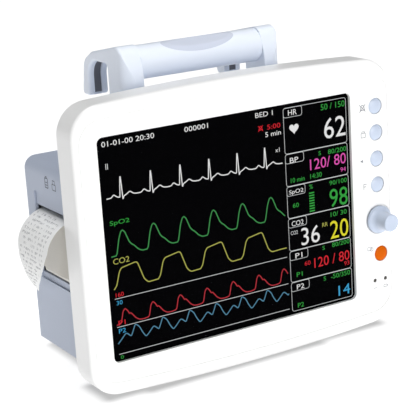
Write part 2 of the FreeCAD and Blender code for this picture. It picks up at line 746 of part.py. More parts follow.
def make_bracket(name, x, outer):
    """Handle leg that reaches back and down as a hook for a bed rail.

    outer is the level of the leg's outer side, whose front corner is well rounded.
    """
    body = doc.addObject("PartDesign::Body", "Leg")
    side = (x, x + d.leg_width)
    foot = [(HOOK_CORNERS[-1][0], d.crown_top), (HOOK_CORNERS[0][0], d.crown_top)]
    pad(body, "YZ", side, foot + [corner[:2] for corner in HOOK_CORNERS])
    for y, z, radius in HOOK_CORNERS:
        fillet(body, radius, cross_edge(y, z))
    above_foot = d.crown_top.value + 0.5
    fillet(body, d.leg_rounding, in_plane("x", outer, lambda spot: spot.z > above_foot))
    inner = x + x + d.leg_width - outer
    fillet(body, d.leg_seam, in_plane("x", inner, lambda spot: spot.z > above_foot))
    middle = x + d.leg_width / 2
    channel = grown((middle, middle), d.channel_width / 2)
    pocket(body, "YZ", channel, channel_outline(d.channel_depth, 190))
    pocket(body, "XY", (d.crown_top, d.crown_top + 12),
           circles=[(middle, y, d.screw_pilot) for y in LEG_SCREWS])
    reach = (HOOK_CORNERS[0][0], 60)
    blank = box(side, reach, (d.crown_top, 250))
    front, level = reach[0], as_size(outer).value

    def outer_front(edge):
        bounds = edge.BoundBox
        return along("z")(edge) and abs(bounds.XMin - level) < 1e-4 and abs(bounds.YMin - front) < 1e-4

    keep(common(body, rounded(blank, d.leg_corner, outer_front)), name)
    lining = doc.addObject("PartDesign::Body", "Lining")
    pad(lining, "YZ", channel, channel_outline(d.channel_depth, 197.5))
    pocket(lining, "YZ", channel, channel_outline(d.channel_depth - d.lining_depth, 190))
    return lining


def make_screws():
    """Pan-head screws of the bezel, the base plate and the handle legs."""
    leg_x = d.leg_inner + d.leg_width / 2
    legs = [(side * leg_x, y) for side in (-1, 1) for y in LEG_SCREWS]
    seat = d.crown_top - d.wall
    runs = [("y", bezel_back + 2, bezel_back, plate_back + 6, screw_spots),
            ("z", 0.2, d.counterbore_depth, boss_top - 1, base_corners),
            ("z", seat - 2.2, seat, seat + 11, legs)]
    screws = []
    for axis, top, neck, tip, spots in runs:
        for spot in spots:
            head = (top, neck) if as_size(top).value < as_size(neck).value else (neck, top)
            shank = (neck, tip) if as_size(neck).value < as_size(tip).value else (tip, neck)
            screws.append(fuse(rod(axis, spot, head, d.screw_head),
                               rod(axis, spot, shank, d.screw_radius)))
    keep(group(*screws), "case_screws")


def make_brackets():
    far = d.leg_inner + d.leg_width
    linings = [make_bracket("handle_bracket_left", -far, -far),
               make_bracket("handle_bracket_right", d.leg_inner, far)]
    keep(group(*linings), "hook_linings")


def grip_cutter(depth, length):
    """Large cylinder across the bar whose dip leaves an oval patch on the bar's upper front."""
    chord = length / 2
    radius = (chord * chord + depth * depth) / (depth * 2)
    item = doc.addObject("Part::Cylinder", "Scoop")
    bind(item, "Radius", radius)
    item.Height = 60
    lean = math.radians(d.grip_lean.value)
    up = Vector(0, -math.sin(lean), math.cos(lean))
    across = Vector(0, math.cos(lean), math.sin(lean))
    item.Placement = Placement(Vector(), Rotation(Vector(0, 0, 1), across))
    reach = d.bar_radius - depth + radius
    place(item, 0, d.bar_y + up.y * reach - across.y * 30, d.bar_z + up.z * reach - across.z * 30)
    return item


def make_bar():
    bar_x = (-d.leg_inner, d.leg_inner)
    centre = (d.bar_y, d.bar_z)
    bar = rod("x", centre, bar_x, d.bar_radius)
    bore = rod("x", centre, bar_x, d.bar_bore)
    keep(cut(bar, grip_cutter(d.grip_depth, d.grip_length), bore), "handle_bar")
    blank = rod("x", centre, bar_x, d.bar_radius)
    filled = common(blank, grip_cutter(d.grip_depth, d.grip_length))
    keep(cut(filled, grip_cutter(d.grip_dish, d.grip_length - 8)), "grip_pad")


# ---------------------------------------------------------------- printer

def make_printer_door():
    """Roll cover that carries the platen: panel, hinge barrel and two shaft arms."""
    body = new_body("printer_door")
    outer = d.hinge_x - d.hinge_radius
    inner = outer + 2
    y = (d.door_front, d.door_back)
    corner = 6
    pad(body, "YZ", (outer, inner),
        [(y[0], d.hinge_z), (y[1] - corner - 1, d.hinge_z), (y[1] - corner - 1, d.hinge_z + 0.5),
         (y[1], d.hinge_z + 0.5, corner), (y[1], d.door_top, 1.5), (y[0], d.door_top)])
    barrel = (y[0], y[1] - corner - 1)
    pad(body, "XZ", barrel, circles=[(d.hinge_x, d.hinge_z, d.hinge_radius)])
    boss = 3.2
    for arm in ((y[0], y[0] + d.plate_depth), (y[1] - d.plate_depth, y[1])):
        low, high = d.platen_z - boss, d.platen_z + boss - 0.3
        pad(body, "XZ", arm, [(inner - 0.5, low - 8), (d.platen_x, low), (d.platen_x + boss, low),
                              (d.platen_x + boss, high), (inner - 0.5, high)])
    pocket(body, "XZ", y, circles=[(d.platen_x, d.platen_z, d.platen_shaft + d.running_gap)])
    pocket(body, "XZ", barrel, circles=[(d.hinge_x, d.hinge_z, d.pin_radius + d.running_gap)])


def gear_face(teeth, module, phase):
    """Straight-sided spur gear outline; phase is the angle of one tooth's centre, in degrees."""
    pitch = module * teeth / 2
    levels = ((pitch - 1.2 * module, 0.30), (pitch, 0.225), (pitch + 0.9 * module, 0.13))
    points = []
    for tooth in range(teeth):
        middle = math.radians(phase + 360 * tooth / teeth)
        step = 2 * math.pi / teeth
        for side, order in ((-1, levels), (1, levels[::-1])):
            for radius, share in order:
                angle = middle + side * share * step
                points.append(Vector(radius * math.cos(angle), 0, radius * math.sin(angle)))
    points.append(points[0])
    return Part.Face(Part.makePolygon(points))


def gear_solid(teeth, phase, x, z, bore):
    module = d.gear_module.value
    front, back = d.gear_front.value, d.gear_back.value
    solid = gear_face(teeth, module, phase).extrude(Vector(0, back - front, 0))
    solid = solid.cut(Part.makeCylinder(bore, 10, Vector(0, -1, 0), Vector(0, 1, 0)))
    solid.translate(Vector(x, front, z))
    return solid


def gear_centres():
    """The idler lies opposite the way the door swings; the pinion lies above the idler."""
    module = d.gear_module.value
    platen = Vector(d.platen_x.value, 0, d.platen_z.value)
    reach = platen - Vector(d.hinge_x.value, 0, d.hinge_z.value)
    inward = Vector(reach.z, 0, -reach.x).normalize()
    first = module * (d.platen_teeth.value + d.idler_teeth.value) / 2
    idler = platen + inward * first
    second = module * (d.idler_teeth.value + d.pinion_teeth.value) / 2
    climb = math.radians(60)
    upward = Vector(math.cos(climb), 0, math.sin(climb))
    return platen, idler, idler + upward * second, inward, upward


def heading(direction):
    return math.degrees(math.atan2(direction.z, direction.x))


def feature(shape, name):
    item = doc.addObject("Part::Feature", "Formed")
    item.Shape = shape
    return keep(item, name)


def make_printer_drive():
    """Platen, reduction gears, pancake motor and the thermal head above the platen."""
    platen, idler, pinion, inward, upward = gear_centres()
    shaft = d.platen_shaft
    centre = (d.platen_x, d.platen_z)
    keep(ring("y", centre, (paper_y[0] + 0.4, paper_y[1] - 0.4), (shaft, d.platen_radius)),
         "platen_rubber")
    keep(rod("y", centre, (d.door_front, d.door_back), shaft), "platen_shaft")
    module = d.gear_module.value
    teeth = [int(size.value) for size in (d.platen_teeth, d.idler_teeth, d.pinion_teeth)]
    feature(gear_solid(teeth[0], heading(inward), platen.x, platen.z, shaft.value), "platen_gear")
    meet_first = heading(inward) + 180
    idler_phase = meet_first + 180 / teeth[1]
    stub = d.stub_radius.value + d.running_gap.value
    feature(gear_solid(teeth[1], idler_phase, idler.x, idler.z, stub),
            "idler_gear")
    pitch = 360 / teeth[1]
    offset = (heading(upward) - idler_phase) / pitch % 1
    pinion_pitch = 360 / teeth[2]
    pinion_phase = heading(upward) + 180 + (0.5 + offset) * pinion_pitch
    axle_radius, depth = d.axle_radius.value, d.motor_depth.value
    backwards = Vector(0, 1, 0)
    solid = gear_solid(teeth[2], pinion_phase, pinion.x, pinion.z, axle_radius - 0.01)
    motor_front = (d.bay_back + 0.2 + d.plate_depth).value
    axle_front = Vector(pinion.x, d.gear_front.value, pinion.z)
    axle_length = motor_front - d.gear_front.value + depth - 1
    axle = Part.makeCylinder(axle_radius, axle_length, axle_front, backwards)
    feature(solid.fuse(axle).removeSplitter(), "motor_rotor")
    can_front = Vector(pinion.x, motor_front, pinion.z)
    can = Part.makeCylinder(d.motor_radius.value, depth, can_front, backwards)
    bore = Part.makeCylinder(axle_radius + d.running_gap.value, depth, can_front, backwards)
    feature(can.cut(bore), "stepper_motor")
    make_thermal_head(platen)


def make_thermal_head(platen):
    """Leaning ceramic bar that presses towards the platen from above."""
    lean = math.radians(69)
    normal = Vector(math.cos(lean), 0, math.sin(lean))
    tangent = Vector(-normal.z, 0, normal.x)
    clear = d.platen_radius.value + 0.9
    length = paper_y[1].value - paper_y[0].value - 1
    base = platen + normal * clear + Vector(0, paper_y[0].value + 0.5, 0)
    corners = [base + tangent * 4.5, base - tangent * 6, base - tangent * 6 + normal * 3,
               base + tangent * 4.5 + normal * 3]
    plate = Part.Face(Part.makePolygon(corners + corners[:1])).extrude(Vector(0, length, 0))
    feature(plate, "thermal_head")


def make_printer_chassis():
    """Steel tray: two side plates joined by a back, with ears for the hinge pin."""
    _, idler, pinion, _, _ = gear_centres()
    front = (bezel_back - 1, bezel_back + 0.2)
    back = (d.bay_back + 0.2, d.bay_back + 0.2 + d.plate_depth)
    left, right, height = d.tray_left, d.tray_right, (d.tray_bottom, d.tray_top)
    plates = []
    for span in (front, back):
        plates.append(box((left, right), span, height))
        plates.append(rod("y", (d.hinge_x, d.hinge_z), span, d.stub_radius))
    plates.append(box((right - d.plate_depth, right), (front[0], back[1]), height))
    plates.append(rod("y", (idler.x, idler.z), (d.gear_front - 0.1, back[1]), d.stub_radius))
    tray = fuse(*plates)
    bores = [rod("y", (d.hinge_x, d.hinge_z), (front[0], back[1]), d.pin_radius),
             rod("y", (pinion.x, pinion.z), back, d.axle_radius + 0.4)]
    keep(cut(tray, *bores), "printer_chassis")
    keep(rod("y", (d.hinge_x, d.hinge_z), (front[0], back[1]), d.pin_radius), "door_pin")
    centre = (d.roll_x, d.roll_z)
    keep(rod("y", centre, (front[1], back[0]), d.spindle_radius), "roll_spindle")
    bore = d.spindle_radius + d.running_gap
    keep(ring("y", centre, grown(paper_y, 0.3), (bore, d.core_radius)), "paper_core")
    keep(ring("y", centre, paper_y, (d.core_radius, d.roll_radius)), "paper_roll")
    outer = d.face_inset - d.pod_half_width
    y = (bezel_back + d.cover_gap, d.bay_back - d.cover_gap)
    cover = box((outer, outer + 2), y, (d.slot_top, d.bay_top - d.cover_gap))
    lip = box((outer + 2, outer + 5), y, (d.slot_top + 2, d.slot_top + 4))
    keep(fuse(cover, lip), "printer_top_cover")
    sill_top = d.hinge_z - d.hinge_radius - d.cover_gap
    keep(box((outer, outer + 5), y, (d.bay_bottom + 0.1, sill_top)), "printer_sill")


def make_paper_strip():
    """Printed paper: off the roll, over the platen, out of the slot, curling down to a torn end."""
    depth = d.paper_depth.value
    platen = Vector(d.platen_x.value, 0, d.platen_z.value)
    roll = Vector(d.roll_x.value, 0, d.roll_z.value)
    near = d.platen_radius.value + d.strip_gap.value
    far = d.roll_radius.value + d.strip_gap.value
    line = platen - roll
    bearing = math.atan2(line.z, line.x) - math.acos((far - near) / line.Length)
    normal = Vector(math.cos(bearing), 0, math.sin(bearing))
    curl = Vector(d.curl_start_x.value, 0, d.platen_z.value + near - d.curl_radius.value)
    tail = Vector(curl.x - d.curl_radius.value + d.tail_radius.value, 0, curl.z)
    fall = math.pi + math.radians(d.tail_sweep.value)

    def side(extra):
        """One face of the strip; extra is its distance beyond the face next to the platen."""
        def around(centre, radius, angle):
            return centre + Vector(math.cos(angle), 0, math.sin(angle)) * (radius + extra)

        quarter = math.pi / 2
        middle = (bearing + quarter) / 2
        return [
            (around(roll, far, bearing), around(platen, near, bearing)),
            (around(platen, near, bearing), around(platen, near, middle), around(platen, near, quarter)),
            (around(platen, near, quarter), around(curl, d.curl_radius.value, quarter)),
            (around(curl, d.curl_radius.value, quarter),
             around(curl, d.curl_radius.value, 1.5 * quarter),
             around(curl, d.curl_radius.value, math.pi)),
            (around(tail, d.tail_radius.value, math.pi),
             around(tail, d.tail_radius.value, (math.pi + fall) / 2),
             around(tail, d.tail_radius.value, fall)),
        ]

    def edges(runs):
        made = []
        for run in runs:
            if len(run) == 2:
                made.append(Part.makeLine(*run))
            else:
                made.append(Part.Arc(*run).toShape())
        return made

    inner, outer = side(0), side(depth)
    loop = edges(inner) + edges(outer)
    loop.append(Part.makeLine(inner[0][0], outer[0][0]))
    loop.append(Part.makeLine(inner[-1][-1], outer[-1][-1]))
    face = Part.Face(Part.Wire(Part.__sortEdges__(loop)))
    width = d.paper_width.value
    strip = face.extrude(Vector(0, width, 0))
    strip.translate(Vector(0, d.paper_front.value, 0))
    front, back = d.paper_front.value - 1, d.paper_front.value + width + 1
    tear = [Vector(-170, front, 40), Vector(-170, front, 107), Vector(-170, front + 8, 94),
            Vector(-170, front + 21, 81), Vector(-170, front + 40, 68), Vector(-170, back, 61.5),
            Vector(-170, back, 40), Vector(-170, front, 40)]
    torn = Part.Face(Part.makePolygon(tear)).extrude(Vector(38, 0, 0))
    feature(strip.cut(torn), "paper_strip")


# ---------------------------------------------------------------- rear panel

def make_battery():
    hinge = (d.core_back - 2.4, d.battery_bottom + 2.4)
    body = new_body("battery_door")
    x = (d.battery_left, d.battery_right)
    pad(body, "XZ", (d.core_back - 2.4, d.core_back), rectangle(x, (hinge[1], d.battery_top)))
    pad(body, "YZ", x, circles=[(*hinge, 2.4)])
    pad(body, "YZ", (d.battery_left - 2.8, d.battery_right + 2.8),
        circles=[(*hinge, 1 - d.running_gap)])
    pad(body, "XZ", (d.core_back - 5.6, d.core_back - 2.4), rectangle((33, 43), (54, 57)))
    pocket(body, "XZ", (d.core_back - 1, d.core_back), rectangle((30, 46), (53, 57), 1.5))
    pack = box((10, 66), (-28, 39), (18, 53))
    keep(rounded(pack, 2, along("y")), "battery_pack")


def make_rear_fittings():
    """Mains inlet, rocker switch and earth terminal."""
    x = grown((d.inlet_x, d.inlet_x), d.inlet_half_width)
    z = grown((d.inlet_z, d.inlet_z), d.inlet_half_height)
    face = d.core_back
    shell = fuse(box(x, (face - 18, face), z), box(grown(x, 2), (face, face + 1.6), grown(z, 2)))
    hollow = box(grown(x, -1.6), (face - 15, face + 1.6), grown(z, -1.6))
    pins = [box((d.inlet_x + step * 7 - 1, d.inlet_x + step * 7 + 1), (face - 15, face - 3),
                (d.inlet_z + rise - 2, d.inlet_z + rise + 2))
            for step, rise in ((-1, -1.5), (0, 1.5), (1, -1.5))]
    keep(fuse(cut(shell, hollow), *pins), "mains_inlet")

    rx, rz = (d.rocker_x, d.rocker_x), (d.rocker_z, d.rocker_z)
    frame = fuse(box(grown(rx, 6.5), (face - 12, face), grown(rz, 9.5)),
                 box(grown(rx, 8), (face, face + 1.4), grown(rz, 11)))
    well = box(grown(rx, 5.2), (face - 9, face + 1.4), grown(rz, 8.2))
    seat = rod("x", (face - 2, d.rocker_z), (d.rocker_x - 6, d.rocker_x + 6), 1.05)
    keep(cut(frame, fuse(well, seat)), "switch_frame")
    rocker = new_body("power_rocker")
    level = [(1.6, 0), (2.6, 7.2), (-1.6, 6.6), (-4.4, 1.5), (-4.4, -1.5), (-1.6, -6.6), (2.6, -7.2)]
    tip = math.radians(d.rocker_tilt.value)
    tipped = [(y * math.cos(tip) - z * math.sin(tip), y * math.sin(tip) + z * math.cos(tip))
              for y, z in level]
    pad(rocker, "YZ", (-4.9, 4.9), tipped)
    pad(rocker, "YZ", (-6, 6), circles=[(0, 0, 1)])
    place(rocker, d.rocker_x, face - 2, d.rocker_z)

    centre = (d.earth_x, d.earth_z)
    terminal = fuse(rod("y", centre, (face - 6, face), d.earth_radius + 0.9),
                    rod("y", centre, (face, face + 2), d.earth_radius + 2.5),
                    rod("y", centre, (face + 2, face + 12), d.earth_radius))
    keep(terminal, "earth_terminal")


# ---------------------------------------------------------------- socket panel on the right pod

SOCKETS = (
    # name, y, z, shell radius, bore radius, bore depth
    ("ecg_socket", -27, 130, 9.5, 7, 9),
    ("spo2_socket", -2, 130, 8, 5.5, 9),
    ("pressure_sockets", -27, 103, 8, 5.5, 9),
    ("pressure_sockets", -2, 103, 8, 5.5, 9),
    ("cuff_port", -27, 76, 8, 4, 10),
    ("gas_port", -2, 76, 7.5, 4.5, 8),
)


def make_socket_panel():
    outer = d.pod_half_width - 0.8
    y, z = grown((d.panel_front, d.panel_back), -0.3), grown((d.panel_bottom, d.panel_top), -0.3)
    plate = rounded(box((outer - 2, outer), y, z), 2.7, along("x"))
    holes = [rod("x", spot[1:3], (outer - 3, outer + 1), spot[3] - 1.5) for spot in SOCKETS]
    keep(cut(plate, *holes), "socket_panel")
    made = {}
    for name, centre_y, centre_z, shell, bore, depth in SOCKETS:
        centre = (centre_y, centre_z)
        face = outer + 3
        parts = [rod("x", centre, (outer, face), shell),
                 rod("x", centre, (face - depth - 3, outer), shell - 1.55)]
        hollow = rod("x", centre, (face - depth, face), bore)
        contacts = []
        if name not in ("cuff_port", "gas_port"):
            floor = face - depth
            for turn in range(6):
                angle = math.radians(60 * turn)
                spot = (centre_y + 3 * math.cos(angle), centre_z + 3 * math.sin(angle))
                contacts.append(rod("x", spot, (floor - 2, floor), 0.6))
        else:
            contacts.append(rod("x", centre, (face - depth - 3, face - depth), 1.5))
        made.setdefault(name, []).append(cut(fuse(*parts), hollow, *contacts))
    for name, items in made.items():
        keep(items[0] if len(items) == 1 else group(*items), name)


# ---------------------------------------------------------------- inner parts

def make_inner_parts():
    """Chassis plate with the main board on posts, and the modules behind it."""
    plate_front, plate_back_level, board_front = -46, -44.8, -41
    posts = [rod("y", (x, z), (plate_back_level, board_front), 2.5)
             for x in (-62, 62) for z in (78, 142)]
    plate = box((-75, 75), (plate_front, plate_back_level), (15, 178))
    keep(fuse(plate, *posts), "chassis_plate")
    keep(box((-68, 68), (board_front, board_front + d.board_depth), (72, 148)), "main_board")
    keep(box((-72, -2), (-34, 22), (9, 62)), "power_supply")
    keep(box((86, 118), (-46, 14), (32, 152)), "parameter_module")
    pump_radius = 12
    keep(rod("x", (4, 84), (-66, -8), pump_radius), "cuff_pump")
    speaker_centre = (-39, 109)
    cone_front, cone_back, magnet_front = 24, 40, 14
    horn = cone("y", speaker_centre, (cone_front, cone_back), (9, 21))
    magnet = rod("y", speaker_centre, (magnet_front, cone_front), 12)
    keep(fuse(horn, magnet), "speaker")


# ---------------------------------------------------------------- build, check and write

make_front_bezel()
make_screen()
make_keys()
make_lamps()
make_encoder()
make_rear_housing()
make_base()
make_brackets()
make_screws()
make_bar()
make_printer_door()
make_printer_drive()
make_printer_chassis()
make_paper_strip()
make_battery()
make_rear_fittings()
make_socket_panel()
make_inner_parts()
doc.recompute()

for item in doc.Objects:
    if "Invalid" in item.State or "Error" in item.State:
        raise RuntimeError(f"{item.Label} did not build: {item.State}")

for body, before, feature in pockets:
    if feature.Shape.Volume >= before.Shape.Volume:
        raise RuntimeError(f"{body.Label}: {feature.Label} removed nothing")

os.makedirs("parts", exist_ok=True)
for item in subparts:
    shape = item.Shape
    if shape.isNull() or not shape.isValid():
        raise RuntimeError(f"{item.Label} has no valid shape")
    print(f"{item.Label:24s} solids {len(shape.Solids)} volume {shape.Volume:10.1f} "
          f"box {shape.BoundBox}")
    shape.exportStep(os.path.join("parts", item.Label + ".step"))
print(len(subparts), "sub-parts")
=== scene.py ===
import json
import math
import random

import bmesh
import bpy
from mathutils import Matrix, Vector


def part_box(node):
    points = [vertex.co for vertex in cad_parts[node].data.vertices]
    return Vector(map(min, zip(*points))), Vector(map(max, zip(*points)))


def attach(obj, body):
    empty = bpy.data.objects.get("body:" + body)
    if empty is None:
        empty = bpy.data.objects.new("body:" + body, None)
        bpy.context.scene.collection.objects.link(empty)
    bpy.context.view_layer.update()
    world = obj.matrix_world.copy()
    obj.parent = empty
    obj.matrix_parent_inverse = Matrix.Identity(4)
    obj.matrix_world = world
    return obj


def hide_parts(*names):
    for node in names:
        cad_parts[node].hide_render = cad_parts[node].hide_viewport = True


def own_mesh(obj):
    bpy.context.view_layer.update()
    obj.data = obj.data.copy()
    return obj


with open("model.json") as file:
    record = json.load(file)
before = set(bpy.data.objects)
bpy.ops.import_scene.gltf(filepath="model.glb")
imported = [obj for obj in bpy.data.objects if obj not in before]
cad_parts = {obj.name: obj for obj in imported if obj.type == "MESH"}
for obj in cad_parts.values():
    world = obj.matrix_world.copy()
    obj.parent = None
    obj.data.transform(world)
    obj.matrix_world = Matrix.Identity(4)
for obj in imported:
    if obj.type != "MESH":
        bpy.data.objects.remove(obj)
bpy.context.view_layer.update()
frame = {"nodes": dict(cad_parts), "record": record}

# Shapes are worked out in millimetres and become metres in add_piece().
MM = 0.001
CASE = "case"


def node_box(node):
    """Lowest and highest corner of a CAD node, in millimetres."""
    low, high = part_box(node)
    return low / MM, high / MM


def middle(node):
    low, high = node_box(node)
    return (low + high) / 2


def new_object(name, data):
    thing = bpy.data.objects.new(name, data)
    bpy.context.scene.collection.objects.link(thing)
    return thing


# ---------------- camera, floor and light

POD_HALF_WIDTH = 131.5
CAMERA_PLACE = (-0.52545, -0.92298, 0.38832)
CAMERA_AZIMUTH = 30.27
CAMERA_DROP = 15.29
CAMERA_ROLL = 3.60
CAMERA_LENS = 120.9
FLOOR_SIZE = 100  # metres
FLOOR_Z = node_box("rubber_feet")[0].z * MM
FLOOR_GREY = (0.12, 0.12, 0.121)
SKY_COLOR = (0.97, 0.985, 1)
SKY_LEVEL = 0.14
# azimuth from straight in front, height, spread in degrees, and power
SUNS = {"key": (0, 8, 40, 2.35), "top": (180, 87, 24, 1.8)}
FLOOR_GLOW = 0.96
# glow in the core of the painted shadow under the monitor
FLOOR_PAINTED_SHADOW = 0.45
# left, right, front and back of the boxes that make up the painted shadow on the floor
PAINTED_SHADOW_BOXES = ((-86, 60, -71, -38), (-118, 121, -66, -38), (-101, 101, -60, 60))
PAINTED_SHADOW_EDGE = 12
PAINTED_SHADOW_BLEND = 12
# distances from the painted shadow in millimetres, and the share of the glow that is reached there
GLOW_NEAR, GLOW_RISE = 80, 1.3
GLOW_FAR, GLOW_AWAY = 600, 0.8


def make_camera():
    azimuth, drop, roll = map(math.radians, (CAMERA_AZIMUTH, CAMERA_DROP, CAMERA_ROLL))
    forward = Vector((math.sin(azimuth) * math.cos(drop), math.cos(azimuth) * math.cos(drop),
                      -math.sin(drop)))
    level = Vector((math.cos(azimuth), -math.sin(azimuth), 0))
    down = forward.cross(level)
    right = level * math.cos(roll) + down * math.sin(roll)
    up = level * math.sin(roll) - down * math.cos(roll)
    data = bpy.data.cameras.new("camera")
    data.lens = CAMERA_LENS
    data.clip_start = 0.01
    camera = new_object("camera", data)
    turn = Matrix((right, up, -forward)).transposed().to_4x4()
    camera.matrix_world = Matrix.Translation(CAMERA_PLACE) @ turn
    bpy.context.scene.camera = camera


def sun_light(name, azimuth, height, spread, power):
    """Soft light from a wide source; azimuth 0 is straight in front, positive towards +X."""
    data = bpy.data.lights.new(name, "SUN")
    data.angle = math.radians(spread)
    data.energy = power
    lamp = new_object(name, data)
    azimuth, height = math.radians(azimuth), math.radians(height)
    source = Vector((math.sin(azimuth) * math.cos(height), -math.cos(azimuth) * math.cos(height),
                     math.sin(height)))
    lamp.matrix_world = source.to_track_quat("Z", "Y").to_matrix().to_4x4()


def floor_glow(paint):
    """The floor glows, with a painted shadow: its glow is dimmed under the monitor's foot and front rim.
    """
    links = paint.node_tree.links
    nodes = paint.node_tree.nodes

    def worked(kind, operation, *inputs):
        node = nodes.new(kind)
        node.operation = operation
        for socket, value in zip(node.inputs, inputs):
            if isinstance(value, bpy.types.NodeSocket):
                links.new(value, socket)
            else:
                socket.default_value = value
        return node.outputs["Value" if operation in ("LENGTH", "SMOOTH_MIN", "MULTIPLY") else "Vector"]

    def vector_math(operation, *inputs):
        return worked("ShaderNodeVectorMath", operation, *inputs)

    def number_math(operation, *inputs):
        return worked("ShaderNodeMath", operation, *inputs)

    def ramp(value, start, end, levels):
        node = nodes.new("ShaderNodeMapRange")
        node.interpolation_type = "SMOOTHSTEP"
        node.inputs["From Min"].default_value, node.inputs["From Max"].default_value = start * MM, end * MM
        node.inputs["To Min"].default_value, node.inputs["To Max"].default_value = levels
        links.new(value, node.inputs["Value"])
        return node.outputs["Result"]

    place = nodes.new("ShaderNodeTexCoord").outputs["Object"]
    spans = []
    for left, right, front, back in PAINTED_SHADOW_BOXES:
        centre = Vector(((left + right) / 2, (front + back) / 2, 0)) * MM
        half = Vector(((right - left) / 2, (back - front) / 2, FLOOR_SIZE)) * MM
        beside = vector_math("ABSOLUTE", vector_math("SUBTRACT", place, centre))
        outside = vector_math("MAXIMUM", vector_math("SUBTRACT", beside, half), Vector())
        spans.append(vector_math("LENGTH", outside))
    span = spans[0]
    for other in spans[1:]:
        span = number_math("SMOOTH_MIN", span, other, PAINTED_SHADOW_BLEND * MM)
    # painted shadow: the glow falls to its lowest level next to the monitor's foot and front rim
    edge = ramp(span, 0, PAINTED_SHADOW_EDGE, (FLOOR_PAINTED_SHADOW, FLOOR_GLOW))
    rise = ramp(span, PAINTED_SHADOW_EDGE, GLOW_NEAR, (1, GLOW_RISE))
    away = ramp(span, GLOW_NEAR, GLOW_FAR, (1, GLOW_AWAY))
    level = number_math("MULTIPLY", edge, number_math("MULTIPLY", rise, away))
    links.new(level, shader_of(paint).inputs["Emission Strength"])


def make_studio():
    bpy.context.scene.view_settings.view_transform = "Standard"
    world = bpy.data.worlds.new("studio")
    world.use_nodes = True
    background = world.node_tree.nodes["Background"]
    background.inputs["Color"].default_value = (*SKY_COLOR, 1)
    background.inputs["Strength"].default_value = SKY_LEVEL
    bpy.context.scene.world = world
    for name, sun in SUNS.items():
        sun_light(name, *sun)
    half = FLOOR_SIZE / 2
    mesh = bpy.data.meshes.new("floor")
    corners = [(x, y, FLOOR_Z) for x, y in ((-half, -half), (half, -half), (half, half), (-half, half))]
    mesh.from_pydata(corners, [], [(0, 1, 2, 3)])
    floor = new_object("floor", mesh)
    paint = surface("floor_paint", FLOOR_GREY, 0.8, specular=0.1)
    shader_of(paint).inputs["Emission Color"].default_value = (1, 1, 1, 1)
    floor_glow(paint)
    mesh.materials.append(paint)


# ---------------- materials

def surface(name, color, roughness, specular=0.5, metallic=0, coat=0, sheen=0):
    material = bpy.data.materials.new(name)
    material.use_nodes = True
    for socket, value in {"Base Color": (*color, 1), "Roughness": roughness, "Metallic": metallic,
                          "Specular IOR Level": specular, "Coat Weight": coat, "Coat Roughness": 0.2,
                          "Sheen Weight": sheen}.items():
        shader_of(material).inputs[socket].default_value = value
    return material


def shader_of(material):
    return material.node_tree.nodes["Principled BSDF"]


def add_node(material, kind, **values):
    node = material.node_tree.nodes.new(kind)
    for name, value in values.items():
        node.inputs[name].default_value = value
    return node


def link(material, output, node, socket):
    material.node_tree.links.new(output, node.inputs[socket])


def object_place(material, stretch=(1, 1, 1)):
    """The object's own coordinates, squeezed along each axis by stretch."""
    mapping = add_node(material, "ShaderNodeMapping", Scale=stretch)
    link(material, add_node(material, "ShaderNodeTexCoord").outputs["Object"], mapping, "Vector")
    return mapping.outputs["Vector"]


def noise(material, scale, detail=2, stretch=(1, 1, 1)):
    node = add_node(material, "ShaderNodeTexNoise", Scale=scale, Detail=detail)
    link(material, object_place(material, stretch), node, "Vector")
    return node.outputs["Fac"]


def tint(material, factor, spread, color):
    """Let the colour drift by spread, darker and lighter, with the factor."""
    mix = add_node(material, "ShaderNodeMix")
    mix.data_type = "RGBA"
    mix.inputs["A"].default_value = (*[c * (1 - spread) for c in color], 1)
    mix.inputs["B"].default_value = (*[min(1, c * (1 + spread)) for c in color], 1)
    link(material, factor, mix, "Factor")
    link(material, mix.outputs["Result"], shader_of(material), "Base Color")


def rough(material, factor, low, high):
    level = add_node(material, "ShaderNodeMapRange")
    level.inputs["To Min"].default_value = low
    level.inputs["To Max"].default_value = high
    link(material, factor, level, "Value")
    link(material, level.outputs["Result"], shader_of(material), "Roughness")


def bump(material, factor, depth, strength=1):
    """Raise the surface by up to depth millimetres."""
    node = add_node(material, "ShaderNodeBump", Strength=strength, Distance=depth * MM)
    link(material, factor, node, "Height")
    link(material, node.outputs["Normal"], shader_of(material), "Normal")


def moulded(name, color, roughness=0.45, grain=0.35, depth=0.012, drift=0.02, **rest):
    """Injection moulded plastic: fine spark-eroded grain and a slight drift in colour."""
    material = surface(name, color, roughness, **rest)
    fine = noise(material, 1 / (grain * MM), 3)
    broad = noise(material, 14, 2)
    tint(material, broad, drift, color)
    rough(material, fine, roughness - 0.07, roughness + 0.07)
    bump(material, fine, depth, 0.35)
    return material


def brushed(name, color, roughness=0.35, stretch=(1, 1, 18)):
    """Sheet metal with fine rolling marks."""
    material = surface(name, color, roughness, metallic=1)
    lines = noise(material, 260, 4, stretch)
    tint(material, lines, 0.08, color)
    rough(material, lines, roughness - 0.1, roughness + 0.12)
    bump(material, lines, 0.006, 0.3)
    return material


def rubber(name, color, roughness=0.75):
    material = surface(name, color, roughness, specular=0.3, sheen=0.15)
    fine = noise(material, 1500, 4)
    tint(material, noise(material, 40, 3), 0.12, color)
    rough(material, fine, roughness - 0.1, roughness + 0.1)
    bump(material, fine, 0.02, 0.5)
    return material


def glowing(name, color):
    material = surface(name, (0.01, 0.01, 0.01), 0.6, specular=0)
    shader = shader_of(material)
    shader.inputs["Emission Color"].default_value = (*color, 1)
    shader.inputs["Emission Strength"].default_value = 1
    return material


def printing_ink(name, color, roughness=0.5, specular=0.3, speck=700, drift=0.12):
    """Ink whose colour drifts from speck to speck."""
    ink = surface(name, color, roughness, specular=specular)
    tint(ink, noise(ink, speck, 2), drift, color)
    return ink


def window_glass():
    """Coated clear window: it darkens the picture a little and shows no reflections."""
    material = surface("clear_window", (0.002, 0.002, 0.003), 0.06, specular=0)
    shader_of(material).inputs["Alpha"].default_value = 0.1
    rough(material, noise(material, 30, 3), 0.03, 0.12)
    return material


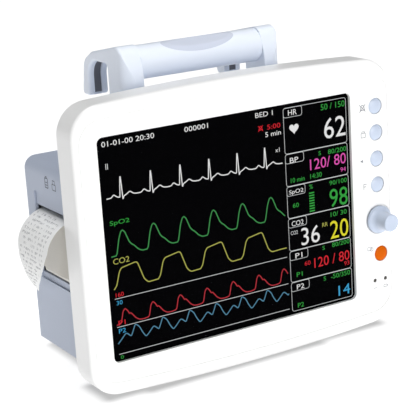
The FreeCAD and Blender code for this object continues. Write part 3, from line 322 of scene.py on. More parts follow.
def paper_material():
    color = (0.9, 0.905, 0.9)
    material = surface("thermal_paper", color, 0.55, specular=0.25)
    fibre = noise(material, 900, 5, (1, 0.4, 1))
    tint(material, noise(material, 60, 3), 0.03, color)
    rough(material, fibre, 0.45, 0.65)
    bump(material, fibre, 0.01, 0.4)
    return material


def wound_material(centre):
    """Edge of the wound roll: thin rings about the roll's axis."""
    color = (0.86, 0.86, 0.84)
    material = surface("wound_paper", color, 0.7, specular=0.2)
    place = add_node(material, "ShaderNodeTexCoord")
    shift = add_node(material, "ShaderNodeMapping", Scale=(1, 0, 1),
                     Location=(-centre.x * MM, 0, -centre.z * MM))
    rings = add_node(material, "ShaderNodeTexWave", Scale=420, Distortion=0.8, Detail=2)
    rings.wave_type = "RINGS"
    rings.rings_direction = "SPHERICAL"
    link(material, place.outputs["Object"], shift, "Vector")
    link(material, shift.outputs["Vector"], rings, "Vector")
    tint(material, rings.outputs["Fac"], 0.07, color)
    bump(material, rings.outputs["Fac"], 0.02, 0.4)
    return material


def board_material():
    """Green solder mask over a web of tracks."""
    color = (0.02, 0.13, 0.06)
    material = surface("solder_mask", color, 0.35, coat=0.4)
    tracks = add_node(material, "ShaderNodeTexVoronoi", Scale=260)
    tracks.distance = "MANHATTAN"
    link(material, object_place(material), tracks, "Vector")
    tint(material, tracks.outputs["Distance"], 0.5, color)
    bump(material, tracks.outputs["Distance"], 0.03, 0.4)
    return material


def display_material():
    """Switched-on panel: near black, with its grid of cells too fine to see from afar."""
    color = (0.0005, 0.0005, 0.0007)
    material = surface("display_black", color, 0.35, specular=0.01)
    cells = add_node(material, "ShaderNodeTexVoronoi", Scale=3000)
    cells.distance = "CHEBYCHEV"
    link(material, object_place(material), cells, "Vector")
    tint(material, cells.outputs["Distance"], 0.6, color)
    return material


WHITE = (0.90, 0.90, 0.895)
CASE_BLUE = (0.46, 0.51, 0.62)
HANDLE_BLUE = (0.84, 0.895, 1.0)
KEY_BLUE = (0.52, 0.59, 0.72)

LOOKS = {
    "bezel_white": moulded("bezel_white", WHITE, 0.33, grain=0.6, depth=0.006, drift=0.006, coat=0.15),
    "case_blue": moulded("case_blue", CASE_BLUE, 0.5, grain=0.45, depth=0.02),
    "handle_blue": moulded("handle_blue", HANDLE_BLUE, 0.38, grain=0.5, depth=0.01, coat=0.1),
    "grip_soft": moulded("grip_soft", (0.60, 0.645, 0.76), 0.6, grain=0.3, depth=0.03, sheen=0.3),
    "key_blue": moulded("key_blue", KEY_BLUE, 0.32, grain=0.5, depth=0.006, coat=0.2),
    "key_orange": moulded("key_orange", (0.63, 0.11, 0.0), 0.45, grain=0.5, depth=0.006, specular=0.05),
    "window_clear": window_glass(),
    "display_black": display_material(),
    "foam_black": rubber("foam_black", (0.02, 0.02, 0.02), 0.9),
    "steel_sheet": brushed("steel_sheet", (0.62, 0.63, 0.64)),
    "screw_steel": brushed("screw_steel", (0.6, 0.61, 0.63), 0.3),
    "board_green": board_material(),
    "lamp_smoke": moulded("lamp_smoke", (0.035, 0.03, 0.022), 0.25, depth=0.004, coat=0.3),
    "rubber_dark": rubber("rubber_dark", (0.15, 0.155, 0.175)),
    "brass_insert": brushed("brass_insert", (0.75, 0.57, 0.25), 0.3, (1, 1, 4)),
    "door_cream": moulded("door_cream", (0.56, 0.53, 0.47), 0.3, grain=0.8, depth=0.005, coat=0.35),
    "paper_white": paper_material(),
    "spool_grey": moulded("spool_grey", (0.35, 0.35, 0.36), 0.5),
    "gear_nylon": moulded("gear_nylon", (0.78, 0.76, 0.68), 0.45),
    "platen_black": rubber("platen_black", (0.03, 0.03, 0.03), 0.6),
    "head_ceramic": moulded("head_ceramic", (0.12, 0.07, 0.05), 0.2, depth=0.004, coat=0.6),
    "motor_can": brushed("motor_can", (0.3, 0.3, 0.32), 0.4, (1, 12, 1)),
    "battery_wrap": moulded("battery_wrap", (0.02, 0.03, 0.06), 0.3, grain=1.5, depth=0.02, coat=0.5),
    "module_shield": brushed("module_shield", (0.7, 0.71, 0.72), 0.3, (12, 1, 1)),
    "panel_grey": moulded("panel_grey", (0.68, 0.69, 0.72), 0.5, grain=0.4, depth=0.02),
    "socket_green": moulded("socket_green", (0.03, 0.24, 0.10), 0.4),
    "socket_blue": moulded("socket_blue", (0.03, 0.09, 0.36), 0.4),
    "socket_red": moulded("socket_red", (0.4, 0.03, 0.03), 0.4),
    "port_grey": moulded("port_grey", (0.15, 0.16, 0.17), 0.45),
    "port_yellow": moulded("port_yellow", (0.62, 0.42, 0.05), 0.45),
    "inlet_black": moulded("inlet_black", (0.012, 0.012, 0.014), 0.45, depth=0.02),
}


def dress_frame():
    """Every CAD node takes the look of its slot in the record."""
    for entry in frame["record"]["subparts"]:
        mesh = frame["nodes"][entry["node"]].data
        mesh.materials.clear()
        mesh.materials.append(LOOKS[entry["material_slot"]])


# ---------------- making pieces

class Shape:
    """Vertices and faces gathered in millimetres."""

    def __init__(self):
        self.points = []
        self.faces = []

    def add(self, points, faces):
        start = len(self.points)
        self.points += [tuple(point) for point in points]
        self.faces += [tuple(start + index for index in face) for face in faces]
        return self


def add_piece(name, shape, body, slot, look=None, replaces=(), smooth=40, thick=0):
    """Turn a Shape into a piece that rides a body; smooth is the sharp-edge angle in degrees.

    A flat shape is printed ink or a lit segment, and becomes thick millimetres deep.
    """
    mesh = bpy.data.meshes.new(name)
    mesh.from_pydata([Vector(point) * MM for point in shape.points], [], shape.faces)
    tidy = bmesh.new()
    tidy.from_mesh(mesh)
    bmesh.ops.remove_doubles(tidy, verts=tidy.verts, dist=0.002 * MM)
    if smooth:
        bmesh.ops.recalc_face_normals(tidy, faces=tidy.faces)
    if thick:
        bmesh.ops.solidify(tidy, geom=tidy.faces[:], thickness=thick * MM)
    tidy.to_mesh(mesh)
    tidy.free()
    piece = new_object(name, mesh)
    mesh.materials.append(look or LOOKS[slot])
    if smooth:
        mesh.shade_smooth()
        mesh.set_sharp_from_angle(angle=math.radians(smooth))
    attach(piece, body)
    if replaces:
        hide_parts(*replaces)
    return piece


def soften(points, closed=True, steps=5):
    """Round every corner given as (u, v, bend) with a curve that starts bend before it."""
    result = []
    count = len(points)
    for index, (u, v, *bend) in enumerate(points):
        spot = Vector((u, v))
        ends = not closed and index in (0, count - 1)
        if not bend or ends:
            result.append(spot)
            continue
        before = Vector(points[index - 1][:2])
        after = Vector(points[(index + 1) % count][:2])
        start = spot + (before - spot).normalized() * bend[0]
        end = spot + (after - spot).normalized() * bend[0]
        for step in range(steps + 1):
            share = step / steps
            result.append(start * (1 - share) ** 2 + spot * 2 * share * (1 - share) + end * share ** 2)
    return result


AXES = {"x": (Vector((0, 1, 0)), Vector((0, 0, 1)), Vector((1, 0, 0))),
        "y": (Vector((0, 0, 1)), Vector((1, 0, 0)), Vector((0, 1, 0))),
        "z": (Vector((1, 0, 0)), Vector((0, 1, 0)), Vector((0, 0, 1)))}


def lathe(shape, profile, centre, axis, turns=64, steps=5):
    """Turn a profile of (radius, distance along the axis, bend) points; see soften() for bend."""
    across, beside, ahead = AXES[axis]
    centre = Vector(centre)
    profile = soften(profile, closed=False, steps=steps)
    points = []
    for radius, reach in profile:
        for turn in range(turns):
            angle = 2 * math.pi * turn / turns
            offset = across * math.cos(angle) + beside * math.sin(angle)
            points.append(centre + offset * radius + ahead * reach)
    faces = []
    for row in range(len(profile) - 1):
        for turn in range(turns):
            following = (turn + 1) % turns
            low, high = row * turns, (row + 1) * turns
            faces.append((low + turn, low + following, high + following, high + turn))
    return shape.add(points, faces)


def prism(shape, outline, spot, levels, caps=(0, 1)):
    """Walls between two levels of an outline; caps lists the levels that are closed."""
    count = len(outline)
    points = [spot(u, v, level) for level in levels for u, v in outline]
    faces = [(n, (n + 1) % count, count + (n + 1) % count, count + n) for n in range(count)]
    faces += [tuple(range(cap * count, (cap + 1) * count)) for cap in caps]
    return shape.add(points, faces)


def block(shape, low, high):
    points = [(x, y, z) for x in (low[0], high[0]) for y in (low[1], high[1])
              for z in (low[2], high[2])]
    faces = [(0, 1, 3, 2), (4, 6, 7, 5), (0, 4, 5, 1), (2, 3, 7, 6), (0, 2, 6, 4), (1, 5, 7, 3)]
    return shape.add(points, faces)


def on_front(level):
    """Map flat (u, v) points to the plane Y = level, seen from the front."""
    return lambda spot: (spot[0], level, spot[1])


def on_left(level):
    """Map flat (u, v) points to the plane X = level, where u runs along Y."""
    return lambda spot: (level, spot[0], spot[1])


LEAST_LEAN = 0.45


def ribbon(shape, path, width, plane, closed=False):
    """A flat line of even width along a path of (u, v) points, with blunted sharp corners."""
    path = [Vector(spot[:2]) for spot in path]
    count = len(path)
    sides = []
    for index, spot in enumerate(path):
        before = path[index - 1] if closed or index else spot
        after = path[(index + 1) % count] if closed or index < count - 1 else spot
        first = (spot - before).normalized() if spot != before else (after - spot).normalized()
        second = (after - spot).normalized() if after != spot else first
        normal = Vector((-(first.y + second.y), first.x + second.x))
        if normal.length < 1e-6:
            normal = Vector((-first.y, first.x))
        normal.normalize()
        lean = max(LEAST_LEAN, normal.dot(Vector((-first.y, first.x))))
        sides.append((spot + normal * (width / 2 / lean), spot - normal * (width / 2 / lean)))
    points = [plane(spot) for pair in sides for spot in pair]
    runs = count if closed else count - 1
    faces = []
    for index in range(runs):
        a, b = 2 * index, 2 * ((index + 1) % count)
        faces.append((a, a + 1, b + 1, b))
    return shape.add(points, faces)


def patch(shape, outline, plane):
    return shape.add([plane(spot) for spot in outline], [tuple(range(len(outline)))])


def rounded_box(u, v, bend):
    return soften([(u[0], v[0], bend), (u[1], v[0], bend), (u[1], v[1], bend), (u[0], v[1], bend)])


def circle(u, v, radius, count):
    angles = [2 * math.pi * step / count for step in range(count)]
    return [(u + radius * math.cos(angle), v + radius * math.sin(angle)) for angle in angles]


def lettering(shape, text, u, v, plane):
    """Figures in the built-in font, fitted between the u and v limits."""
    curve = bpy.data.curves.new("figures", "FONT")
    curve.body = text
    curve.resolution_u = 3
    holder = new_object("figures", curve)
    graph = bpy.context.evaluated_depsgraph_get()
    mesh = bpy.data.meshes.new_from_object(holder.evaluated_get(graph))
    spots = [vertex.co.xy for vertex in mesh.vertices]
    low = [min(spot[axis] for spot in spots) for axis in (0, 1)]
    size = [max(spot[axis] for spot in spots) - low[axis] for axis in (0, 1)]
    fitted = []
    for spot in spots:
        share = [(spot[axis] - low[axis]) / size[axis] for axis in (0, 1)]
        fitted.append((u[0] + (u[1] - u[0]) * share[0], v[0] + (v[1] - v[0]) * share[1]))
    shape.add([plane(spot) for spot in fitted], [tuple(face.vertices) for face in mesh.polygons])
    bpy.data.objects.remove(holder)
    bpy.data.curves.remove(curve)
    bpy.data.meshes.remove(mesh)


# ---------------- the picture on the screen

PICTURE_GAP = 0.12
LAYER_GAP = 0.03
SEGMENT_DEPTH = 0.04
INK_DEPTH = 0.03
SCREEN_U = middle("screen_window").x
SCREEN_V = middle("screen_window").z
WAVES_U = (-100.6, 46.6)
COLUMN_U = (49.2, 106.2)
COLUMN_LEVELS = (78.0, 43.0, 18.0, -6.8, -32.5, -57.4, -80.8)
TAB_SIZE = (16.6, 7.4)
FRAME_WIDTH = 0.34
RULE_LEVELS = (-36.2, -57.4, -77.8)
RULE_WIDTH = 0.42
BARS_U = (69.2, 73.9)
BARS_V = -5.2
BAR_COUNT, BAR_HEIGHT, BAR_PITCH = 8, 1.05, 2.02
SCREEN_COLORS = {
    "white": (0.92, 0.92, 0.92), "grey": (0.72, 0.74, 0.75), "green": (0.035, 0.40, 0.055),
    "red": (0.72, 0.018, 0.03), "magenta": (0.80, 0.10, 0.48), "yellow": (0.86, 0.80, 0.03),
    "cyan": (0.05, 0.40, 0.72), "dim_green": (0.05, 0.30, 0.08), "dim_yellow": (0.48, 0.48, 0.10),
    "dim_red": (0.50, 0.03, 0.045), "dim_cyan": (0.10, 0.28, 0.42),
}

HEART_BEAT = [(-8.2, 0.2), (-6.1, 2.4), (-3.6, 0.3), (-1.3, -0.4), (0, 17.6), (0.95, -2.1), (1.9, 0.1),
              (4.2, 1.1), (6.8, 2.8), (9.3, 0.7), (12.1, 0.2)]
PULSE = [(-6.4, -4.7), (-5.6, -3.5), (-3.2, 7.5), (-1.4, 12), (0, 12.9), (1.6, 11.4), (4.6, 3.6),
         (6.2, 1.6), (8.2, 0.2), (11.5, -3.4), (14.5, -5), (18.4, -4.9)]
BREATH = [(-6.6, -29), (-4.6, -26.5), (-1.8, -17), (0, -14.3), (12.7, -12.1), (14.6, -17.5),
          (17.6, -26.2), (20.6, -29.3), (28.6, -28.9)]
ARTERY = [(-4.5, -55.3), (-3.5, -54.2), (-1.8, -46.8), (0, -44.6), (1.8, -46.4), (3.4, -49.3),
          (4.4, -48.9), (5.6, -50.2), (8, -53.4), (11, -55.5), (15, -55.8), (18.1, -55.3)]
VEIN = [(0, -57.9), (3.4, -61), (5.2, -65.2), (8.1, -69.7), (11.5, -66.4), (14.9, -62.8),
        (18.8, -66.5), (20.2, -63.6)]

# one period's outline, the place of its first peak, the period, base level, line width and colour
TRACES = (
    (HEART_BEAT, -88.8, 24.05, 36.9, 0.75, "white"),
    (PULSE, -90.3, 24.98, 0, 0.85, "dim_green"),
    (BREATH, -93.5, 35.35, 0, 0.75, "dim_yellow"),
    (ARTERY, -93.2, 22.72, 0, 0.75, "dim_red"),
    (VEIN, -86, 22.65, 0, 0.75, "dim_cyan"),
)

# text, colour, left and right limit, lower and upper limit
FIGURES = (
    ("01-01-00 20:30", "white", (-101.2, -59.7), (73.9, 77.7)),
    ("000001", "white", (-35.2, -15.6), (73.9, 77.6)),
    ("BED 1", "white", (24.8, 40), (74.6, 78.2)),
    ("5:00", "red", (34.6, 46.2), (64.4, 68)),
    ("5 min", "white", (32.6, 46.4), (59, 62.6)),
    ("II", "grey", (-99.4, -97.6), (57.9, 62)),
    ("x1", "white", (40.8, 44.5), (46.2, 49.4)),
    ("SpO2", "green", (-99.7, -84.2), (16.6, 20.8)),
    ("CO2", "dim_yellow", (-99.5, -86.6), (-11, -6.8)),
    ("160", "red", (-99.6, -93.2), (-35.1, -32)),
    ("30", "cyan", (-99.4, -94.7), (-41, -37.9)),
    ("P1", "red", (-99.2, -93.6), (-56.4, -52.8)),
    ("P2", "cyan", (-99.4, -93.8), (-62.3, -58.9)),
    ("0", "green", (-99.6, -97.2), (-81.6, -79)),
    ("HR", "white", (53.5, 61.3), (71.9, 76)),
    ("BP", "white", (53.2, 60.8), (35.6, 39.7)),
    ("SpO2", "white", (51.2, 64.2), (10.9, 15)),
    ("CO2", "white", (52.2, 63), (-13.4, -9.4)),
    ("P1", "white", (54.2, 60.6), (-39.1, -35.1)),
    ("P2", "white", (54.2, 61), (-63.9, -60)),
    ("50 / 150", "green", (83.1, 105.2), (71.2, 75.8)),
    ("62", "white", (85.4, 105.2), (48.7, 64.6)),
    ("80/200", "green", (88.2, 105.2), (36.6, 40.2)),
    ("S", "green", (79.4, 81.6), (37.2, 40.4)),
    ("120/ 80", "magenta", (71.2, 104.6), (27, 35.4)),
    ("94", "magenta", (99.2, 104.2), (20.9, 24.3)),
    ("10 min", "green", (53.2, 65.8), (20.4, 24)),
    ("14:30", "green", (71, 81.6), (20.4, 24.2)),
    ("%", "green", (69.6, 72.9), (12.6, 16.2)),
    ("90/100", "green", (88.4, 104.8), (12.1, 15.6)),
    ("98", "green", (88, 105), (-5.4, 8.9)),
    ("60", "green", (54, 59.4), (0.9, 4.3)),
    ("10/ 30", "green", (88.4, 103.6), (-12.9, -9.3)),
    ("CO2", "grey", (51, 57.4), (-20, -17)),
    ("36", "white", (60.4, 77.5), (-30.2, -16.4)),
    ("RR", "dim_yellow", (80.2, 85.3), (-19.3, -16.1)),
    ("20", "yellow", (87.5, 104.6), (-30.6, -16.3)),
    ("S", "green", (79.4, 81.6), (-37.6, -34.4)),
    ("80/200", "green", (88.6, 105.2), (-37.2, -33.6)),
    ("120 / 80", "red", (71.3, 104.7), (-50.3, -42.4)),
    ("60", "red", (62.4, 67.8), (-46.6, -43.2)),
    ("93", "red", (99.4, 104.4), (-54.4, -51)),
    ("P1", "green", (54.6, 60), (-53.9, -50.4)),
    ("S", "green", (79.4, 81.6), (-62.4, -59.2)),
    ("-50/350", "green", (86.4, 104.6), (-62.6, -58.8)),
    ("14", "cyan", (93, 104.2), (-77.9, -69.6)),
    ("P2", "green", (54.4, 60), (-78.6, -75)),
)


def screen_plane(depth):
    """A plane just in front of the display panel, measured from the middle of the window."""
    level = node_box("lcd_panel")[0].y - depth
    return lambda spot: (SCREEN_U + spot[0], level, SCREEN_V + spot[1])


def trace_path(outline, first, period, base):
    """Repeat one period from the left end of the waves to the right end."""
    path = []
    peak = first - period
    while peak < WAVES_U[1]:
        path += [(peak + u, base + v) for u, v in outline]
        peak += period
    path.sort(key=lambda spot: spot[0])
    path.append((WAVES_U[1] + 1, path[-1][1]))
    inside = [spot for spot in path if WAVES_U[0] < spot[0] < WAVES_U[1]]
    before = [spot for spot in path if spot[0] <= WAVES_U[0]][-1]
    after = [spot for spot in path if spot[0] >= WAVES_U[1]][0]

    def between(low, high, u):
        share = (u - low[0]) / (high[0] - low[0])
        return (u, low[1] + (high[1] - low[1]) * share)

    return [between(before, inside[0], WAVES_U[0]), *inside, between(inside[-1], after, WAVES_U[1])]


def rounded_path(path, share=0.35):
    """Take the points off a trace, leaving its peaks in place."""
    points = []
    for index, spot in enumerate(path):
        if index in (0, len(path) - 1):
            points.append((*spot, 0))
            continue
        near = min((Vector(path[index + step]) - Vector(spot)).length for step in (-1, 1))
        points.append((*spot, near * share))
    return soften(points, closed=False, steps=3)


def heart_outline(u, v, size):
    outline = []
    for step in range(40):
        angle = 2 * math.pi * step / 40
        across = math.sin(angle) ** 3
        up = (13 * math.cos(angle) - 5 * math.cos(2 * angle) - 2 * math.cos(3 * angle)
              - math.cos(4 * angle)) / 16
        outline.append((u + across * size, v + up * size))
    return outline


def bell_lines(u, v, size):
    """A bell with a cross through it, as lines."""
    dome = [(-0.75, -0.5), (-0.55, -0.1), (-0.5, 0.35), (-0.25, 0.75), (0.25, 0.75), (0.5, 0.35),
            (0.55, -0.1), (0.75, -0.5), (-0.75, -0.5)]
    crosses = [[(-0.95, -0.95), (0.95, 0.95)], [(-0.95, 0.95), (0.95, -0.95)]]
    return [[(u + a * size, v + b * size) for a, b in line] for line in [dome, *crosses]]


def make_picture():
    shapes = {color: Shape() for color in SCREEN_COLORS}
    waves, ink = screen_plane(PICTURE_GAP), screen_plane(PICTURE_GAP + LAYER_GAP)
    for outline, first, period, base, width, color in TRACES:
        ribbon(shapes[color], rounded_path(trace_path(outline, first, period, base)), width, waves)
    for level in RULE_LEVELS:
        ribbon(shapes["grey"], [(WAVES_U[0], level), (WAVES_U[1], level)], RULE_WIDTH, ink)
    for top, bottom in zip(COLUMN_LEVELS, COLUMN_LEVELS[1:]):
        frame_line = rounded_box(COLUMN_U, (bottom + 0.15, top - 0.15), 2.2)
        ribbon(shapes["grey"], frame_line, FRAME_WIDTH, ink, closed=True)
        tab = rounded_box((COLUMN_U[0], COLUMN_U[0] + TAB_SIZE[0]), (top - TAB_SIZE[1], top - 0.3), 2)
        ribbon(shapes["grey"], tab, FRAME_WIDTH, ink, closed=True)
    for text, color, u, v in FIGURES:
        lettering(shapes[color], text, u, v, ink)
    patch(shapes["white"], heart_outline(58.2, 61.6, 4.2), ink)
    for line in bell_lines(28.8, 66.2, 2.2):
        ribbon(shapes["red"], line, 0.45, ink)
    left, right = BARS_U
    for step in range(BAR_COUNT):
        low = BARS_V + step * BAR_PITCH
        high = low + BAR_HEIGHT
        patch(shapes["green"], [(left, low), (right, low), (right, high), (left, high)], ink)
    for color, shape in shapes.items():
        add_piece(f"picture_{color}", shape, CASE, "display_black",
                  glowing(f"lit_{color}", SCREEN_COLORS[color]), smooth=0, thick=SEGMENT_DEPTH)


# ---------------- keys, knob, lamps and legends

KEY_FLANGE = 1.2
KNOB_GRIP = 0.62
LAMP_RADIUS = 1.5


def key_profile(low, high, radius, flange):
    """Domed cap with a rounded shoulder and its retaining flange."""
    dome, shoulder = 1.15, 0.5
    sweep, steps = 1.1, 12
    angles = [sweep * step / steps for step in range(steps + 1)]
    points = [((radius - shoulder) * math.sin(angle) / math.sin(sweep),
               low.y + dome * (1 - math.cos(angle)) / (1 - math.cos(sweep))) for angle in angles]
    points += [(radius, low.y + dome + 0.25, 0.3), (radius, high.y - 2), (flange, high.y - 1.9, 0.1),
               (flange, high.y - 0.5, 0.1), (0, high.y - 0.4)]
    return points


def make_keys():
    bodies = {"silence_key": "silence_button", "record_key": "record_button",
              "volume_key": "volume_button", "function_key": "function_button",
              "nibp_key": "nibp_button"}
    for node, body in bodies.items():
        low, high = node_box(node)
        centre = (low + high) / 2
        flange = (high.x - low.x) / 2
        profile = key_profile(low, high, flange - KEY_FLANGE, flange)
        shape = lathe(Shape(), profile, (centre.x, 0, centre.z), "y", steps=4)
        slot = "key_orange" if node == "nibp_key" else "key_blue"
        add_piece(f"{node}_cap", shape, body, slot, replaces=[node], smooth=35)


def make_knob():
    """Skirt and grip in one smooth moulding with a shallow dish in its end."""
    low, high = node_box("encoder_knob")
    centre = (low + high) / 2
    skirt = (high.x - low.x) / 2
    grip = skirt * KNOB_GRIP
    front, back = low.y, high.y
    points = [(0, front + 0.45), (grip * 0.62, front + 0.3, 1.2), (grip * 0.8, front, 0.5),
              (grip - 0.1, front + 0.3, 0.75), (grip, front + 3, 0.8), (grip + 0.1, back - 5.9, 1.3),
              (grip + 1.9, back - 3.9, 1.2), (skirt - 0.9, back - 3.2, 0.8), (skirt, back - 2.5, 0.6),
              (skirt, back - 0.4, 0.3), (skirt - 0.5, back, 0.25), (3.1, back), (3.1, front + 5)]
    shape = lathe(Shape(), points, (centre.x, 0, centre.z), "y", 96, 7)
    add_piece("encoder_knob_cap", shape, "encoder_turn", "key_blue", replaces=["encoder_knob"], smooth=35)


def island_boxes(node):
    """The box of each separate solid in a node, in millimetres."""
    mesh = frame["nodes"][node].data
    parent = {}

    def root(item):
        while parent[item] != item:
            item = parent[item]
        return item

    keys = [tuple(round(value / MM, 2) for value in vertex.co) for vertex in mesh.vertices]
    for key in keys:
        parent.setdefault(key, key)
    for edge in mesh.edges:
        a, b = (root(keys[index]) for index in edge.vertices)
        parent[a] = b
    boxes = {}
    for key in parent:
        low, high = boxes.setdefault(root(key), (list(key), list(key)))
        for axis in range(3):
            low[axis] = min(low[axis], key[axis])
            high[axis] = max(high[axis], key[axis])
    return [(Vector(low), Vector(high)) for low, high in sorted(boxes.values())]


def make_lamps():
    """Smoked lenses with a domed face."""
    lamps = Shape()
    for low, high in island_boxes("status_lamps"):
        centre = (low + high) / 2
        points = [(0, low.y), (LAMP_RADIUS * 0.6, low.y + 0.1, 0.3), (LAMP_RADIUS, low.y + 0.5, 0.25),
                  (LAMP_RADIUS, high.y), (0, high.y)]
        lathe(lamps, points, (centre.x, 0, centre.z), "y", 40)
    add_piece("status_lamp_lenses", lamps, CASE, "lamp_smoke", replaces=["status_lamps"])


LEGEND_U = 108.8
HORN_U = 106.8
CUFF_RISE = 5.6
LAMP_MARK_DROP = 6.2


def make_legends():
    """Symbols printed beside the keys, under the lamps and on the case's left side."""
    plane = on_front(node_box("front_bezel")[0].y - INK_DEPTH)
    legends = Shape()

    def line(width, *path, closed=False):
        ribbon(legends, path, width, plane, closed)

    u = LEGEND_U
    bell, page, horn, letter = (middle(node).z for node in ("silence_key", "record_key", "volume_key",
                                                            "function_key"))
    for path in bell_lines(u, bell, 3.0):
        line(0.5, *path)
    line(0.45, *rounded_box((u - 2, u + 2), (page - 2.2, page + 1.2), 0.3), closed=True)
    line(0.45, (u - 1.2, page + 1.2), (u - 1.2, page + 2.4), (u + 1.2, page + 2.4), (u + 1.2, page + 1.2))
    patch(legends, [(HORN_U - 1.2, horn - 0.6), (HORN_U, horn - 0.6), (HORN_U + 1, horn - 1.5),
                    (HORN_U + 1, horn + 1.5), (HORN_U, horn + 0.6), (HORN_U - 1.2, horn + 0.6)], plane)
    line(0.5, (u + 1.8, letter + 2.1), (u - 1, letter + 2.1), (u - 1, letter - 2.1))
    line(0.5, (u + 1.1, letter + 0.1), (u - 1, letter + 0.1))
    cuff = middle("nibp_key").z + CUFF_RISE
    line(0.42, *rounded_box((109.6, 113.2), (cuff - 1.2, cuff + 1.6), 1.0), closed=True)
    line(0.42, *circle(113.4, cuff - 0.6, 1.4, 20), closed=True)
    lamps = [(low + high) / 2 for low, high in island_boxes("status_lamps")]
    left, right, v = lamps[0].x, lamps[1].x, lamps[0].z - LAMP_MARK_DROP
    line(0.4, (left - 1.6, v), (left + 1.6, v))
    line(0.38, *rounded_box((right - 1.8, right + 1.4), (v - 0.9, v + 0.9), 0.2), closed=True)
    line(0.4, (right + 1.9, v - 0.5), (right + 1.9, v + 0.5))
    add_piece("key_legends", legends, CASE, "bezel_white", printing_ink("legend_ink", (0.22, 0.23, 0.26)),
              smooth=0, thick=INK_DEPTH)

    side = on_left(-POD_HALF_WIDTH - INK_DEPTH)
    marks = Shape()
    ribbon(marks, rounded_box((-21.2, -16.4), (144.6, 151.6), 0.5), 0.7, side, True)
    ribbon(marks, [(-20.2, 152.6), (-17.4, 152.6)], 0.8, side)
    for level in (146.6, 148.6):
        ribbon(marks, [(-20.4, level), (-17.2, level)], 0.6, side)
    ribbon(marks, rounded_box((-34.0, -28.2), (144.8, 149.0), 0.4), 0.55, side, True)
    ribbon(marks, [(-32.8, 149.0), (-32.8, 151.8), (-29.4, 151.8), (-29.4, 149.0)], 0.55, side)
    add_piece("side_legends", marks, CASE, "case_blue", printing_ink("side_ink", (0.09, 0.10, 0.13)),
              smooth=0, thick=INK_DEPTH)


# ---------------- printed strip

STRIP_CLEARANCE = 0.35
STRIP_THICKNESS = 0.12
CURL_RADIUS = 26
TAIL_RADIUS = 60
CURL_START = -124
TAIL_SWEEP = 37.3
STRIP_COLUMNS, STRIP_ROWS = 50, 110
EDGE_CURL, EDGE_RIPPLE = 0.5, 0.12
# across the strip, from its short front edge to its long back edge, and height of the torn end
TORN_END = ((-49.6, 107), (-41.6, 94), (-28.6, 81), (-9.6, 68), (2.4, 61.5))
RAGGED = 0.35
PRINT_LIFT = 0.02
PRINT_GREY = (0.16, 0.16, 0.18)
# blank paper after the slot, before the end, at the front edge and at the back edge
BLANK_START, BLANK_END, BLANK_FRONT, BLANK_BACK = 7, 8, 5, 4
ROW_PITCH, GLYPH_PITCH, GLYPH_HEIGHT = 3.6, 0.95, 1.9


def strip_path():
    """Samples of the strip's inner face from the roll to the end, each with its outward angle."""
    platen, roll = middle("platen_rubber").xz, middle("paper_roll").xz
    low, high = node_box("platen_rubber")
    near = (high.z - low.z) / 2 + STRIP_CLEARANCE
    low, high = node_box("paper_roll")
    far = (high.z - low.z) / 2 + STRIP_CLEARANCE
    line = platen - roll
    bearing = math.atan2(line.y, line.x) - math.acos((far - near) / line.length)
    quarter = math.pi / 2
    curl = Vector((CURL_START, platen.y + near - CURL_RADIUS))
    tail = Vector((curl.x - CURL_RADIUS + TAIL_RADIUS, curl.y))

    def around(centre, radius, angle):
        return centre + Vector((math.cos(angle), math.sin(angle))) * radius

    def straight(start, end, heading, count):
        return [(start.lerp(end, step / count), heading) for step in range(count)]

    def arc(centre, radius, first, last, count):
        angles = [first + (last - first) * step / count for step in range(count)]
        return [(around(centre, radius, angle), angle) for angle in angles]

    path = straight(around(roll, far, bearing), around(platen, near, bearing), bearing, 8)
    path += arc(platen, near, bearing, quarter, 6)
    path += straight(around(platen, near, quarter), around(curl, CURL_RADIUS, quarter), quarter, 3)
    path += arc(curl, CURL_RADIUS, quarter, math.pi, 30)
    end = math.pi + math.radians(TAIL_SWEEP)
    path += arc(tail, TAIL_RADIUS, math.pi, end, 36)
    path.append((around(tail, TAIL_RADIUS, end), end))
    return path


def torn_level(y, ragged):
    """Height at which the strip ends at a place across it."""
    for (y0, z0), (y1, z1) in zip(TORN_END, TORN_END[1:]):
        if y0 <= y <= y1:
            return z0 + (z1 - z0) * (y - y0) / (y1 - y0) + ragged
    return TORN_END[-1][1]


